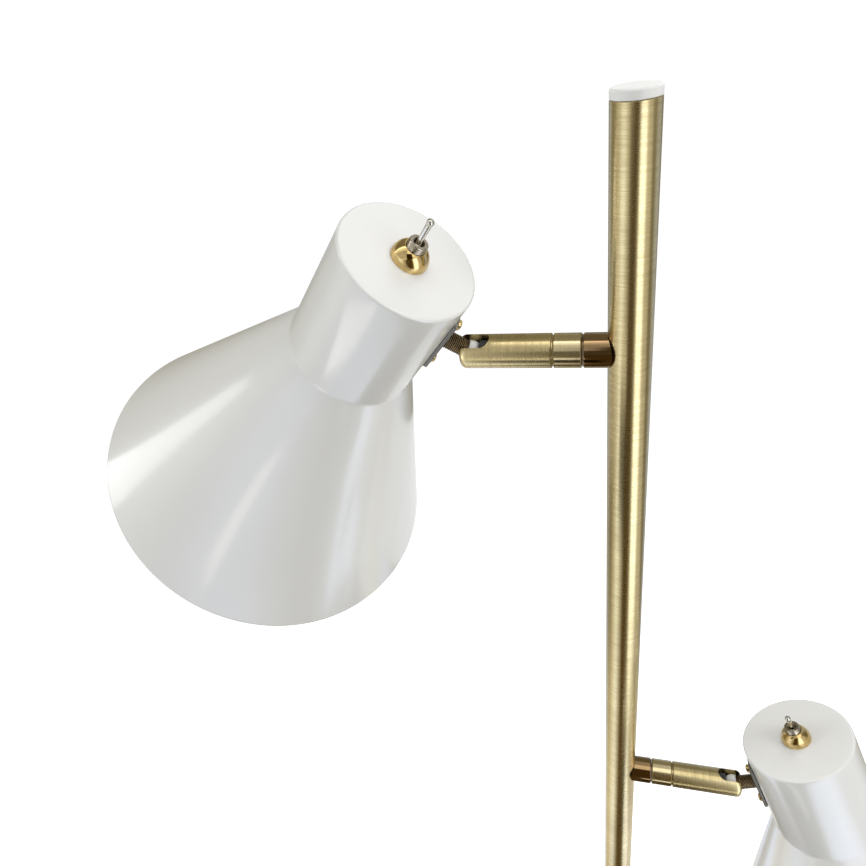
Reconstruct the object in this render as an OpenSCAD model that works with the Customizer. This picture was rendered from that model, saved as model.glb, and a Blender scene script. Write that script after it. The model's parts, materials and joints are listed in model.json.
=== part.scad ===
// Floor lamp with two spun metal shades on short swivelling arms.
// The origin is the middle of the underside of the foot, +Z is up, and +X points along the lower arm.

/* [Base] */
// Diameter of the round foot
base_d = 280; // [240:5:340]
// Height of the foot's top face above the floor
base_h = 24; // [23:1:34]
// Thickness of the sheet that the base cover is spun from
base_wall = 1.2; // [0.8:0.1:2]
// Radius of the cover's rounded shoulder
base_edge_r = 7; // [4:0.5:12]
// Thickness of the rubber pad under the foot
pad_t = 2.5; // [2:0.5:4]
// Thickness of the steel plate that closes the foot
plate_t = 1.5; // [1:0.5:3]
// Gap between the edge of the cover and the plate and pad inside it
plate_gap = 0.4; // [0.2:0.1:1]
// Diameter of the cast weight inside the foot
weight_d = 250; // [200:5:260]
// Bore of the cord grommet at the back of the foot
inlet_d = 6.6; // [5:0.2:7]

/* [Pole] */
// Outer diameter of the pole
pole_d = 22; // [21:0.5:28]
// Wall of the pole
pole_wall = 1.2; // [0.8:0.1:1.6]
// Length of the lower pole tube
lower_pole_l = 738; // [600:1:900]
// Length of the upper pole tube
upper_pole_l = 738; // [600:1:900]
// Length of each threaded insert inside the pole tubes
insert_l = 22; // [16:1:40]
// Height of the plug that shows above the pole
cap_h = 4.6; // [4:0.2:12]
// Radius of the plug's top edge
cap_edge_r = 1.2; // [0.4:0.1:2]
// Length of the plug's shank inside the pole
cap_shank = 12; // [8:1:20]

/* [Arms] */
// Distance of the upper arm below the top of the pole tube
upper_arm_drop = 116; // [60:1:200]
// Distance of the lower arm below the top of the pole tube
lower_arm_drop = 478.4; // [400:0.4:560]
// Diameter of the arm's collar, ring and slotted tube
arm_d = 18.2; // [17.8:0.1:20]
// Length of the collar that stands on the pole
collar_l = 11.6; // [9:0.2:16]
// Radius of the hollow cut in the collar's end, a little flatter than the pole
saddle_r = 18; // [14:1:40]
// Length of the turned ring
ring_l = 14.7; // [13.5:0.1:20]
// Dark gap that shows at each end of the ring
joint_gap = 0.8; // [0.4:0.1:1.2]
// Distance from the slotted tube's inner end to the ball's centre
fork_l = 43; // [36:1:60]
// Length of the tube's nose beyond the ball's centre
nose_l = 5.5; // [4.4:0.1:7]
// Radius of the nose's rounded edge
nose_r = 3.6; // [1:0.1:3.7]
// Distance from the ball's centre back to the centre of the slot's round end
slot_back = 5.6; // [5.4:0.2:8]
// Bevel on the edges at the ring
edge_bevel = 0.35; // [0.1:0.05:0.6]
// Diameter of the ball
ball_d = 12; // [11.6:0.1:12.4]
// Outer diameter of the hollow threaded rods, stems and nipples
thread_d = 9.9; // [9:0.1:10.2]
// Pitch of those threads
thread_pitch = 1; // [0.8:0.1:1.5]
// Bore of the hollow threaded rods in the pole and arms
rod_bore = 7; // [6.4:0.1:7.4]
// Width of the hexagon nuts across flats
nut_af = 13.4; // [13:0.1:13.8]
// Thickness of the hexagon nuts
nut_t = 2.8; // [2:0.1:3]

/* [Shade] */
// Diameter of the shade's neck
neck_d = 72.9; // [66:0.1:84]
// Length of the neck from the cap to the start of the cone
neck_l = 75.6; // [66:0.2:90]
// Diameter of the shade's open rim
rim_d = 226.3; // [190:0.1:232]
// Length of the shade from the cap to the rim
shade_l = 235; // [210:0.5:250]
// Thickness of the spun sheet
shade_wall = 0.8; // [0.6:0.1:1.4]
// Radius of the edge between cap and neck
cap_r = 1.6; // [0.8:0.1:4]
// Radius of the hollow between neck and cone
neck_fillet = 6; // [2:0.5:15]
// Length of the straight lip at the rim
rim_lip = 2.5; // [1:0.5:6]
// Distance from the cap down to the stem
stem_drop = 35.7; // [34:0.1:40]

/* [Head fittings] */
// Distance from the ball's centre to the outer face of the strap
stem_reach = 16; // [14:0.5:22]
// Thickness of the strap between stem and shade
strap_t = 2; // [1.5:0.1:3]
// Width of the strap
strap_w = 13; // [12:0.5:18]
// Length of the strap from the stem towards the cap
strap_up = 17; // [16:0.5:30]
// Length of the strap from the stem towards the rim
strap_down = 21.5; // [20:0.5:30]
// Distance between the two strap screws
screw_pitch = 29.5; // [27:0.5:36]
// Diameter of the strap screws' thread
screw_d = 3; // [2.5:0.1:3.5]
// Diameter of the strap screws' heads
screw_head_d = 5.8; // [5:0.1:7]
// Height of the strap screws' heads
screw_head_h = 3; // [2:0.1:4]
// Thickness of the bracket that holds the lampholder
bracket_t = 1.5; // [1:0.1:2]
// Distance from the stem down to the bracket's shelf
shelf_drop = 22; // [21:0.5:26]
// Diameter of the lampholder
holder_d = 39; // [36:0.5:42]
// Length of the lampholder
holder_l = 46; // [42:1:50]
// Diameter of the bulb
bulb_d = 60; // [50:1:65]
// Length of the bulb from contact to tip
bulb_l = 104; // [100:1:112]

/* [Toggle switch] */
// Diameter of the domed nut at the cap
dome_d = 19.5; // [18:0.1:22]
// Height of the domed nut
dome_h = 8.2; // [6.5:0.1:8.6]
// Height of the bushing's end above the cap
bushing_h = 11.6; // [10.8:0.1:13]
// Height of the lever's pivot above the cap
lever_pivot_h = 8; // [7:0.1:8.2]
// Length of the lever from its pivot to the centre of its tip
lever_l = 14.1; // [12:0.1:18]
// Diameter of the lever's ball tip
lever_tip_d = 3.9; // [3.4:0.1:4.6]
// Diameter of the lever at the bushing
lever_d = 2.9; // [2.4:0.1:3.1]
// Angle of the lever to either side of the bushing's axis
lever_throw = 12; // [8:1:13]

/* [Pose] */
// Turn of the upper arm about its own axis, from shade hanging straight
upper_swivel = -18.1; // [-160:0.1:160]
// Tilt of the upper head outwards
upper_tilt = 38.5; // [0:0.1:90]
// Turn of the lower arm about its own axis, from shade hanging straight
lower_swivel = -8.7; // [-160:0.1:160]
// Tilt of the lower head outwards
lower_tilt = 21.8; // [0:0.1:90]

/* [Hidden] */
$fn = 96;

// Colours
white_enamel = [0.86, 0.85, 0.82];
antique_brass = [0.60, 0.51, 0.31];
dark_brass = [0.40, 0.30, 0.16];
bronze = [0.27, 0.20, 0.13];
polished_brass = [0.78, 0.65, 0.34];
nickel = [0.75, 0.74, 0.71];
ball_white = [0.82, 0.82, 0.80];
steel = [0.55, 0.56, 0.57];
black_steel = [0.13, 0.13, 0.12];
chrome = [0.88, 0.88, 0.88];

// Small clearances
cut = 0.1;            // how far a cut runs past the face that it opens
slip = 0.05;          // radial clearance of rods in their holes and of the ring on its spindle
face_gap = 0.2;       // gap between a nut or washer and a piece that turns past it
slot_gap = 0.35;      // clearance of the stem to each side of the slot
ball_gap = 0.12;      // radial clearance of the ball in its seat
loose = 0.3;          // clearance of the spring, the cup and the bulb's base in their bores

// Foot, from the floor up
base_r = base_d / 2;
cover_bottom = pad_t;
plate_r = base_r - base_wall - plate_gap;
weight_bottom = pad_t + plate_t;
weight_top = base_h - base_wall;
weight_r = weight_d / 2;
recess_r = 18;
recess_top = weight_top - 7;
channel_w = 9;
channel_top = weight_bottom + 9;
plate_screw_d = 4;
plate_screw_head_d = 7.6;
plate_screw_l = 9;
plate_screw_ring = weight_r * 0.6;
grommet_neck_d = inlet_d + 2.4;
grommet_flange_d = inlet_d + 3.4;
grommet_out = 4;
grommet_in = 2;
inlet_z = weight_bottom + grommet_flange_d / 2 + cut;

// Pole
pole_r = pole_d / 2;
pole_bore_r = pole_r - pole_wall;
pole_joint_z = base_h + lower_pole_l;
pole_top = pole_joint_z + upper_pole_l;
insert_r = pole_bore_r - slip;
thread_r = thread_d / 2;
thread_root_r = thread_r - 0.45 * thread_pitch;
rod_hole_r = thread_r + slip;
rod_bore_r = rod_bore / 2;
lead_r = 2.7;
branch_r = 1.9;
nipple_grip = 14;

// Stations along an arm, from the pole's axis outwards
collar_end = pole_r + collar_l;
ring_start = collar_end + joint_gap;
ring_end = ring_start + ring_l;
fork_start = ring_end + joint_gap;
pivot_x = fork_start + fork_l;
nose_end = pivot_x + nose_l;
arm_r = arm_d / 2;
nut_r = nut_af / sqrt(3);
pole_nut_face = sqrt(pow(pole_bore_r, 2) - pow(nut_af / 2, 2)) - cut;
spindle_start = pole_nut_face - nut_t - 0.5;
washer_t = 0.9;
bearing_l = 4.2;
washer_start = ring_start + bearing_l + face_gap;
lock_nut_start = washer_start + washer_t;
spindle_end = lock_nut_start + nut_t + 0.5;
pocket_r = nut_r + face_gap;
tenon_start = spindle_end + 0.9;
tenon_r = pocket_r - slip;

// Stop pin and the groove that it runs in
pin_r = 0.9;
pin_ring_r = (rod_hole_r + arm_r) / 2;
pin_sunk = 4;
pin_reach = 1.5;
groove_w = 2 * pin_r + 0.6;
groove_outer_r = pin_ring_r + groove_w / 2;
groove_depth = pin_reach + 0.4;
groove_web = 2;
spigot_r = arm_r - 0.7;

// Ball joint
ball_r = ball_d / 2;
seat_r = ball_r + ball_gap;
slot_w = thread_d + 2 * slot_gap;
mouth_r = slot_w / 2;
slot_x = pivot_x - slot_back;
bore_start = fork_start + 12;
cup_front = -sqrt(pow(ball_r, 2) - pow(2.8, 2)) + 0.1;
cup_l = 6;
cup_r = seat_r - loose;
cup_bore_r = 2.3;
spring_wall = 1.2;
spring_bore_r = cup_r - spring_wall;

// Head, measured from the ball's centre: +X to the shade's axis, -Z along the shade
strap_x = stem_reach;
neck_near_x = strap_x + strap_t;
neck_r = neck_d / 2;
neck_x = neck_near_x + neck_r;
cap_z = stem_drop;
rim_r = rim_d / 2;
cone_angle = atan((rim_r - neck_r) / (shade_l - rim_lip - neck_l));
neck_bore_r = neck_r - shade_wall;
bracket_x = neck_x - sqrt(pow(neck_bore_r, 2) - pow(strap_w / 2, 2)) + cut;
bracket_inner_x = bracket_x + bracket_t;
stem_end = bracket_inner_x + nut_t + 1.6;
stem_neck_x = sqrt(pow(ball_r, 2) - pow(thread_r, 2)) + slip;
tenon_d = 7;
tenon_end = -ball_r / 3;
strap_mid = (strap_up - strap_down) / 2;
upper_screw_z = strap_mid + screw_pitch / 2;
lower_screw_z = strap_mid - screw_pitch / 2;
screw_end = bracket_inner_x + 2.5;
shelf_top = -shelf_drop;
shelf_bottom = shelf_top - bracket_t;
shelf_reach = 11;
holder_top = shelf_bottom;
holder_bottom = holder_top - holder_l;
holder_bore_r = 13.6;
holder_depth = 27;
bulb_base_r = holder_bore_r - loose;
bulb_base_l = holder_depth;
bulb_top = holder_bottom + holder_depth - loose;
bulb_r = bulb_d / 2;
bulb_wall = 1;
nipple_end = shelf_bottom - 7;
nipple_start = shelf_top + nut_t + 0.8;

// Toggle switch, measured from the cap's outer face along the shade's axis
flange_t = 1.5;
flange_r = 6.8;
body_l = 17;
body_x = 19;
body_y = 13;
bushing_cavity_r = 2.65;
lever_ball_r = bushing_cavity_r - 0.15;
bushing_floor = 3;
bushing_throat_h = lever_pivot_h + 1.7;
lever_flare = 0.2;
lever_tail_r = 1;
lever_tail_l = 4;
terminal_z = cap_z - shade_wall - flange_t - body_l;
terminal_x = 5;
terminal_t = 0.8;
terminal_w = 4;
lead_core_r = 1.1;

// Points of a quarter or other arc about a centre, from one angle to another
function arc(cx, cy, r, from, to, steps = 8) =
    [for (i = [0:steps]) let (a = from + (to - from) * i / steps) [cx + r * cos(a), cy + r * sin(a)]];

// Ridges of a thread along a profile, from one height to another
function ridges(outer, inner, from, to, pitch) =
    let (count = max(1, floor((to - from) / pitch)), step = (to - from) / count)
    [for (i = [0:count - 1]) each [[inner, from + i * step], [outer, from + (i + 0.5) * step]]];

// One ring of a tube swept along points, square to the mean of the two runs that meet there
function unit(v) = v / norm(v);
function run(points, i) = unit(points[min(i + 1, len(points) - 1)] - points[max(i - 1, 0)]);
function tube_ring(points, i, r, sides) =
    let (t = run(points, i), side = unit(cross(t, [0.05, 1, 0.03])), up = cross(side, t))
    [for (k = [0:sides - 1]) points[i] + r * (cos(360 * k / sides) * side + sin(360 * k / sides) * up)];

module swept_tube(points, r, sides = 8) {
    last = len(points) - 1;
    rings = [for (i = [0:last]) each tube_ring(points, i, r, sides)];
    walls = [for (i = [0:last - 1], k = [0:sides - 1]) let (k2 = (k + 1) % sides)
        each [[i * sides + k, i * sides + k2, (i + 1) * sides + k2],
              [i * sides + k, (i + 1) * sides + k2, (i + 1) * sides + k]]];
    near_end = [for (k = [1:sides - 2]) [0, k + 1, k]];
    far_end = [for (k = [1:sides - 2]) [last * sides, last * sides + k, last * sides + k + 1]];
    polyhedron(points = rings, faces = concat(walls, near_end, far_end));
}

// Turns a shape that is built up along Z so that it lies along X
module along_x() {
    rotate([0, 90, 0]) children();
}

module bored_cylinder(r, bore, h) {
    difference() {
        cylinder(r = r, h = h);
        translate([0, 0, -cut]) cylinder(r = bore, h = h + 2 * cut);
    }
}

// Cylinder from one X to another
module x_cylinder(r, from, to) {
    translate([from, 0, 0]) along_x() cylinder(r = r, h = to - from);
}

module hex_nut(bore = rod_hole_r) {
    difference() {
        cylinder(r = nut_r, h = nut_t, $fn = 6);
        translate([0, 0, -cut]) cylinder(r = bore, h = nut_t + 2 * cut);
    }
}

// Frames: an arm leaves the pole along its own +X, and the head hangs from the ball
function arm_z(upper) = pole_top - (upper ? upper_arm_drop : lower_arm_drop);

module at_arm(upper) {
    translate([0, 0, arm_z(upper)]) rotate([0, 0, upper ? 180 : 0]) children();
}

module at_fork(upper) {
    at_arm(upper) rotate([upper ? upper_swivel : lower_swivel, 0, 0]) children();
}

module at_head(upper) {
    at_fork(upper) translate([pivot_x, 0, 0])
        rotate([0, -(upper ? upper_tilt : lower_tilt), 0]) children();
}

module at_cap(upper) {
    at_head(upper) translate([neck_x, 0, cap_z]) children();
}

// ---- Foot ----

module foot_pad() {
    color([0.10, 0.10, 0.10]) cylinder(r = plate_r, h = pad_t);
}

module at_plate_screws() {
    for (turn = [30, 150, 270]) rotate([0, 0, turn]) translate([plate_screw_ring, 0, 0]) children();
}

module plate_screw(grow = 0) {
    head_h = (plate_screw_head_d - plate_screw_d) / 4;
    translate([0, 0, pad_t]) {
        cylinder(r1 = plate_screw_head_d / 2 + grow, r2 = plate_screw_d / 2 + grow, h = head_h);
        cylinder(r = plate_screw_d / 2 + grow, h = plate_screw_l);
    }
}

module base_plate_screws() {
    color(steel) at_plate_screws() plate_screw();
}

module base_plate() {
    color(steel) difference() {
        translate([0, 0, pad_t]) cylinder(r = plate_r, h = plate_t);
        at_plate_screws() plate_screw(slip);
    }
}

module base_weight() {
    color([0.32, 0.32, 0.33]) difference() {
        translate([0, 0, weight_bottom]) cylinder(r = weight_r, h = weight_top - weight_bottom);
        translate([0, 0, weight_bottom - cut]) {
            cylinder(r = recess_r, h = recess_top - weight_bottom + cut);
            translate([-channel_w / 2, 0, 0]) cube([channel_w, base_r, channel_top - weight_bottom + cut]);
        }
        translate([0, 0, weight_bottom]) cylinder(r = rod_hole_r, h = base_h);
        at_plate_screws() plate_screw(slip);
    }
}

// Spun dish, open below, with a rounded shoulder and a hole for the nipple
module base_cover() {
    outer = concat(
        [[base_r, cover_bottom]],
        arc(base_r - base_edge_r, base_h - base_edge_r, base_edge_r, 0, 90),
        [[rod_hole_r, base_h]]);
    inner_r = base_edge_r - base_wall;
    inner = concat(
        [[rod_hole_r, base_h - base_wall]],
        arc(base_r - base_edge_r, base_h - base_edge_r, inner_r, 90, 0),
        [[base_r - base_wall, cover_bottom]]);
    color(white_enamel) difference() {
        rotate_extrude() polygon(concat(outer, inner));
        translate([0, base_r - base_wall - cut, inlet_z]) rotate([-90, 0, 0])
            cylinder(r = grommet_neck_d / 2 + slip, h = base_wall + 1);
    }
}

// Rubber bush in the cover's back wall, its bore is the way in for the cord
module cord_grommet() {
    wall_in = sqrt(pow(base_r - base_wall, 2) - pow(grommet_flange_d / 2, 2)) - cut;
    color([0.09, 0.09, 0.09]) difference() {
        union() {
            translate([0, wall_in - grommet_in, inlet_z]) rotate([-90, 0, 0])
                cylinder(r = grommet_flange_d / 2, h = grommet_in);
            translate([0, wall_in - cut, inlet_z]) rotate([-90, 0, 0])
                cylinder(r = grommet_neck_d / 2, h = base_r - wall_in + cut + grommet_out);
        }
        translate([0, wall_in - grommet_in - cut, inlet_z]) rotate([-90, 0, 0])
            cylinder(r = inlet_d / 2, h = base_r - wall_in + grommet_in + grommet_out + 2 * cut);
    }
}

module base_nut() {
    color(steel) translate([0, 0, recess_top - nut_t]) hex_nut();
}

module base_nipple() {
    color(polished_brass) translate([0, 0, recess_top - nut_t - 1])
        bored_cylinder(thread_r, rod_bore_r, base_h + nipple_grip - recess_top + nut_t + 1);
}

// ---- Pole ----

module pole_tube(from, length) {
    translate([0, 0, from]) bored_cylinder(pole_r, pole_bore_r, length);
}

module lower_pole() {
    color(antique_brass) pole_tube(base_h, lower_pole_l);
}

module upper_pole() {
    color(antique_brass) difference() {
        pole_tube(pole_joint_z, upper_pole_l);
        for (upper = [true, false]) at_arm(upper) x_cylinder(rod_hole_r, 0, pole_d);
    }
}

// Threaded bushes pressed into the tube ends
module pole_inserts() {
    color(steel) for (z = [base_h, pole_joint_z - insert_l, pole_joint_z])
        translate([0, 0, z]) bored_cylinder(insert_r, rod_hole_r, insert_l);
}

module joint_nipple() {
    color(polished_brass) translate([0, 0, pole_joint_z - nipple_grip])
        bored_cylinder(thread_r, rod_bore_r, 2 * nipple_grip);
}

module pole_cap() {
    profile = concat(
        [[0, 0], [pole_r, 0]],
        arc(pole_r - cap_edge_r, cap_h - cap_edge_r, cap_edge_r, 0, 90),
        [[0, cap_h]]);
    color([0.95, 0.95, 0.93]) translate([0, 0, pole_top]) {
        rotate_extrude() polygon(profile);
        translate([0, 0, -cap_shank]) bored_cylinder(insert_r, insert_r - 1.6, cap_shank + cut);
    }
}

// Mains lead from the grommet up the pole, with a branch along the middle of each arm
module pole_lead() {
    top_z = arm_z(true);
    low_z = arm_z(false);
    start_y = base_r - base_wall - grommet_in - 6;
    branch_end = pivot_x - ball_r - loose;
    color([0.85, 0.85, 0.83]) union() {
        swept_tube([
            [0, start_y, inlet_z], [0, 9, inlet_z], [0, 3.2, inlet_z + 0.5], [0, 0.6, inlet_z + 1.7],
            [0, 0, inlet_z + 3.6], [0, 0, low_z], [0, 0, top_z]], lead_r);
        for (upper = [true, false])
            at_arm(upper) swept_tube([[0, 0, 0], [branch_end / 2, 0, 0], [branch_end, 0, 0]], branch_r);
    }
}

// ---- Arm, fixed half ----

// Smooth collar, hollowed where it stands on the pole, with a spigot that fills the joint to the ring
module collar(upper) {
    color(dark_brass) at_arm(upper) difference() {
        translate([pole_r - 6, 0, 0]) along_x() union() {
            cylinder(r = arm_r, h = collar_l + 6 - edge_bevel);
            translate([0, 0, collar_l + 6 - edge_bevel])
                cylinder(r1 = arm_r, r2 = arm_r - edge_bevel, h = edge_bevel);
            cylinder(r = spigot_r, h = collar_l + 6 + joint_gap - face_gap);
        }
        translate([pole_r - saddle_r, 0, -arm_d]) cylinder(r = saddle_r, h = 2 * arm_d);
        x_cylinder(rod_hole_r, 0, ring_start);
        translate([0, 0, -pin_ring_r]) x_cylinder(pin_r, collar_end - pin_sunk, ring_start);
    }
}

// Hollow threaded rods: each clamps its collar to the pole and carries the turning ring
module arm_spindles() {
    color(steel) for (upper = [true, false])
        at_arm(upper) translate([spindle_start, 0, 0]) along_x()
            bored_cylinder(thread_r, rod_bore_r, spindle_end - spindle_start);
}

// One nut inside the pole and one locked in the ring's pocket, on each spindle
module spindle_nuts() {
    color(steel) for (upper = [true, false], x = [pole_nut_face - nut_t, lock_nut_start])
        at_arm(upper) translate([x, 0, 0]) along_x() hex_nut();
}

module friction_washers() {
    color(black_steel) for (upper = [true, false])
        at_arm(upper) translate([washer_start, 0, 0]) along_x()
            bored_cylinder(pocket_r - 2 * face_gap, rod_hole_r, washer_t);
}

// Dowels that run in the rings' grooves and stop the swivel short of a full turn
module stop_pins() {
    color(steel) for (upper = [true, false])
        at_arm(upper) translate([0, 0, -pin_ring_r])
            x_cylinder(pin_r, collar_end - pin_sunk, ring_start + pin_reach);
}

// ---- Arm, turning half ----

// Turned ring: it runs on the spindle and takes the slotted tube's tenon in its pocket
module swivel_ring(upper) {
    profile = [
        [rod_hole_r, ring_start], [arm_r - edge_bevel, ring_start], [arm_r, ring_start + edge_bevel],
        [arm_r, ring_end - edge_bevel], [arm_r - edge_bevel, ring_end], [pocket_r, ring_end],
        [pocket_r, ring_start + bearing_l], [rod_hole_r, ring_start + bearing_l]
    ];
    color(antique_brass) at_fork(upper) difference() {
        along_x() rotate_extrude() polygon(profile);
        translate([ring_start - cut, 0, 0]) difference() {
            along_x() bored_cylinder(groove_outer_r, groove_outer_r - groove_w, groove_depth + cut);
            translate([-cut, -groove_web / 2, 0]) cube([groove_depth + 3 * cut, groove_web, arm_r]);
        }
    }
}

// Slotted tube: a bored bar with a rounded nose, cut open on one side for the stem
module fork_tube(upper) {
    seat_angle = asin(mouth_r / seat_r);
    profile = concat(
        [[rod_bore_r, tenon_start], [tenon_r, tenon_start], [tenon_r, fork_start],
         [arm_r - edge_bevel, fork_start], [arm_r, fork_start + edge_bevel]],
        arc(arm_r - nose_r, nose_end - nose_r, nose_r, 0, 90),
        [[mouth_r, nose_end]],
        arc(0, pivot_x, seat_r, 90 - seat_angle, 0),
        [[seat_r, bore_start], [rod_bore_r, bore_start]]);
    color(antique_brass) at_fork(upper) difference() {
        along_x() rotate_extrude() polygon(profile);
        translate([slot_x, -mouth_r, 0]) cube([nose_end - slot_x + 1, slot_w, arm_d]);
        translate([slot_x, 0, 0]) cylinder(r = mouth_r, h = arm_d);
    }
}

// Outer form of the spring that presses the cup against the ball, out of sight in the tube
module seat_spring(upper) {
    from = bore_start + cut;
    to = pivot_x + cup_front - cup_l;
    color(steel) at_fork(upper) translate([from, 0, 0]) along_x()
        bored_cylinder(cup_r, spring_bore_r, to - from);
}

module seat_cup(upper) {
    color([0.07, 0.07, 0.07]) at_fork(upper) difference() {
        translate([pivot_x + cup_front - cup_l, 0, 0]) along_x() bored_cylinder(cup_r, cup_bore_r, cup_l);
        translate([pivot_x, 0, 0]) sphere(r = ball_r + slip);
    }
}

// ---- Head ----

module ball(upper) {
    color(ball_white) at_head(upper) difference() {
        sphere(r = ball_r);
        x_cylinder(rod_hole_r, stem_neck_x - slip, ball_d);
        x_cylinder(tenon_d / 2 + slip, tenon_end - slip, ball_d);
        x_cylinder(cup_bore_r, -ball_d, 0);
    }
}

// Hollow stem: a tenon and shoulder in the ball, then a thread through strap, shade and bracket
module stem(upper) {
    thread_start = stem_neck_x + 3;
    profile = concat(
        [[cup_bore_r, tenon_end], [tenon_d / 2, tenon_end], [tenon_d / 2, stem_neck_x],
         [thread_root_r, stem_neck_x], [thread_r, stem_neck_x + 0.5], [thread_r, thread_start - 0.4]],
        ridges(thread_r, thread_root_r, thread_start, stem_end, thread_pitch),
        [[thread_root_r, stem_end], [cup_bore_r, stem_end]]);
    color(bronze) at_head(upper) along_x() rotate_extrude() polygon(profile);
}

module stem_nut(upper) {
    color(steel) at_head(upper) translate([bracket_inner_x, 0, 0]) along_x() hex_nut();
}

// Flat strap with rounded corners, drilled for the stem and the two screws
module strap(upper) {
    corner = 2.5;
    strap_l = strap_up + strap_down;
    color(black_steel) at_head(upper) difference() {
        translate([strap_x, 0, 0]) along_x() linear_extrude(strap_t) union() {
            translate([-strap_up, -strap_w / 2 + corner]) square([strap_l, strap_w - 2 * corner]);
            translate([-strap_up + corner, -strap_w / 2]) square([strap_l - 2 * corner, strap_w]);
            for (x = [-strap_up + corner, strap_down - corner], y = [-1, 1])
                translate([x, y * (strap_w / 2 - corner)]) circle(r = corner);
        }
        x_cylinder(rod_hole_r, strap_x - cut, neck_near_x + cut);
        at_strap_screws() x_cylinder(screw_d / 2 + slip, strap_x - cut, neck_near_x + cut);
    }
}

module at_strap_screws() {
    for (z = [lower_screw_z, upper_screw_z]) translate([0, 0, z]) children();
}

// Pan-head screws with a cross recess, tapped into the bracket inside the neck
module strap_screws(upper) {
    recess_w = 0.9;
    recess_l = screw_head_d * 0.6;
    recess_depth = 1.1;
    dome_r = 4.4;
    color(polished_brass) at_head(upper) at_strap_screws() union() {
        x_cylinder(screw_d / 2, strap_x - cut, screw_end);
        difference() {
            intersection() {
                x_cylinder(screw_head_d / 2, strap_x - screw_head_h, strap_x);
                translate([strap_x - screw_head_h + dome_r, 0, 0]) sphere(r = dome_r);
            }
            translate([strap_x - screw_head_h - 1, 0, 0]) {
                translate([0, -recess_w / 2, -recess_l / 2]) cube([1 + recess_depth, recess_w, recess_l]);
                translate([0, -recess_l / 2, -recess_w / 2]) cube([1 + recess_depth, recess_l, recess_w]);
            }
        }
    }
}

// Angle bracket inside the neck: a leg along the wall and a shelf for the lampholder
module bracket(upper) {
    leg_top = upper_screw_z + 5;
    color(steel) at_head(upper) difference() {
        union() {
            translate([bracket_x, -strap_w / 2, shelf_bottom])
                cube([bracket_t, strap_w, leg_top - shelf_bottom]);
            translate([bracket_x, -strap_w / 2, shelf_bottom])
                cube([neck_x + shelf_reach - bracket_x, strap_w, bracket_t]);
        }
        x_cylinder(rod_hole_r, bracket_x - cut, bracket_inner_x + cut);
        at_strap_screws() x_cylinder(screw_d / 2 + slip, bracket_x - cut, bracket_inner_x + cut);
        translate([neck_x, 0, shelf_bottom - cut]) cylinder(r = rod_hole_r, h = bracket_t + 2 * cut);
    }
}

// Spun shade in one piece: flat cap, straight neck, hollow fillet, cone and a straight lip
module shade(upper) {
    fillet_z = -neck_l + neck_fillet * tan(cone_angle / 2);
    lip_z = -(shade_l - rim_lip);
    lip_inner_z = lip_z - shade_wall * (1 / cos(cone_angle) - 1) / tan(cone_angle);
    outer = concat(
        [[rod_hole_r, 0]],
        arc(neck_r - cap_r, -cap_r, cap_r, 90, 0),
        arc(neck_r + neck_fillet, fillet_z, neck_fillet, 180, 180 + cone_angle),
        [[rim_r, lip_z], [rim_r, -shade_l]]);
    inner_cap_r = max(cap_r - shade_wall, 0.1);
    inner = concat(
        [[rim_r - shade_wall, -shade_l], [rim_r - shade_wall, lip_inner_z]],
        arc(neck_r + neck_fillet, fillet_z, neck_fillet + shade_wall, 180 + cone_angle, 180),
        arc(neck_bore_r - inner_cap_r, -shade_wall - inner_cap_r, inner_cap_r, 0, 90),
        [[rod_hole_r, -shade_wall]]);
    color(white_enamel) difference() {
        at_cap(upper) rotate_extrude($fn = 180) polygon(concat(outer, inner));
        at_head(upper) {
            x_cylinder(rod_hole_r, neck_near_x - 1, neck_near_x + 4);
            at_strap_screws() x_cylinder(screw_d / 2 + slip, neck_near_x - 1, neck_near_x + 4);
        }
    }
}

// Short hollow nipple with its nut, which hangs the lampholder from the bracket's shelf
module holder_nipple(upper) {
    color(polished_brass) at_head(upper) translate([neck_x, 0, 0]) {
        translate([0, 0, nipple_end]) bored_cylinder(thread_r, rod_bore_r, nipple_start - nipple_end);
        translate([0, 0, shelf_top]) hex_nut(thread_r - cut);
    }
}

module lampholder(upper) {
    holder_r = holder_d / 2;
    shoulder_r = 14.5;
    bore_top = holder_bottom + holder_depth;
    profile = [
        [rod_hole_r, holder_top], [shoulder_r - 2, holder_top], [shoulder_r, holder_top - 2],
        [shoulder_r, holder_top - 8], [holder_r - 1, holder_top - 14], [holder_r, holder_top - 16],
        [holder_r, holder_bottom + 3], [holder_r - 1, holder_bottom + 2], [holder_r - 1, holder_bottom],
        [holder_bore_r, holder_bottom], [holder_bore_r, bore_top], [rod_hole_r, bore_top]
    ];
    color([0.92, 0.91, 0.88]) at_head(upper) translate([neck_x, 0, 0]) rotate_extrude() polygon(profile);
}

// Thin-walled round bulb: globe, tapering neck and base, with the small hole of its end contact
module bulb(upper) {
    globe_z = bulb_top - bulb_l + bulb_r;
    neck_top = bulb_top - bulb_base_l;
    inner_r = bulb_r - bulb_wall;
    inner_base_r = bulb_base_r - bulb_wall;
    taper_angle = 22;
    base_bevel = 3;
    contact_r = 5;
    hole_r = 2;
    outer = concat(
        arc(0, globe_z, bulb_r, -90, taper_angle, 16),
        [[bulb_base_r, neck_top], [bulb_base_r, bulb_top - base_bevel],
         [contact_r, bulb_top], [hole_r, bulb_top]]);
    inner = concat(
        [[hole_r, bulb_top - bulb_wall], [contact_r, bulb_top - bulb_wall],
         [inner_base_r, bulb_top - base_bevel - bulb_wall], [inner_base_r, neck_top]],
        arc(0, globe_z, inner_r, taper_angle, -90, 16));
    color([0.97, 0.96, 0.92]) at_head(upper) translate([neck_x, 0, 0])
        rotate_extrude() polygon(concat(outer, inner));
}

// ---- Toggle switch on the cap ----

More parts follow.
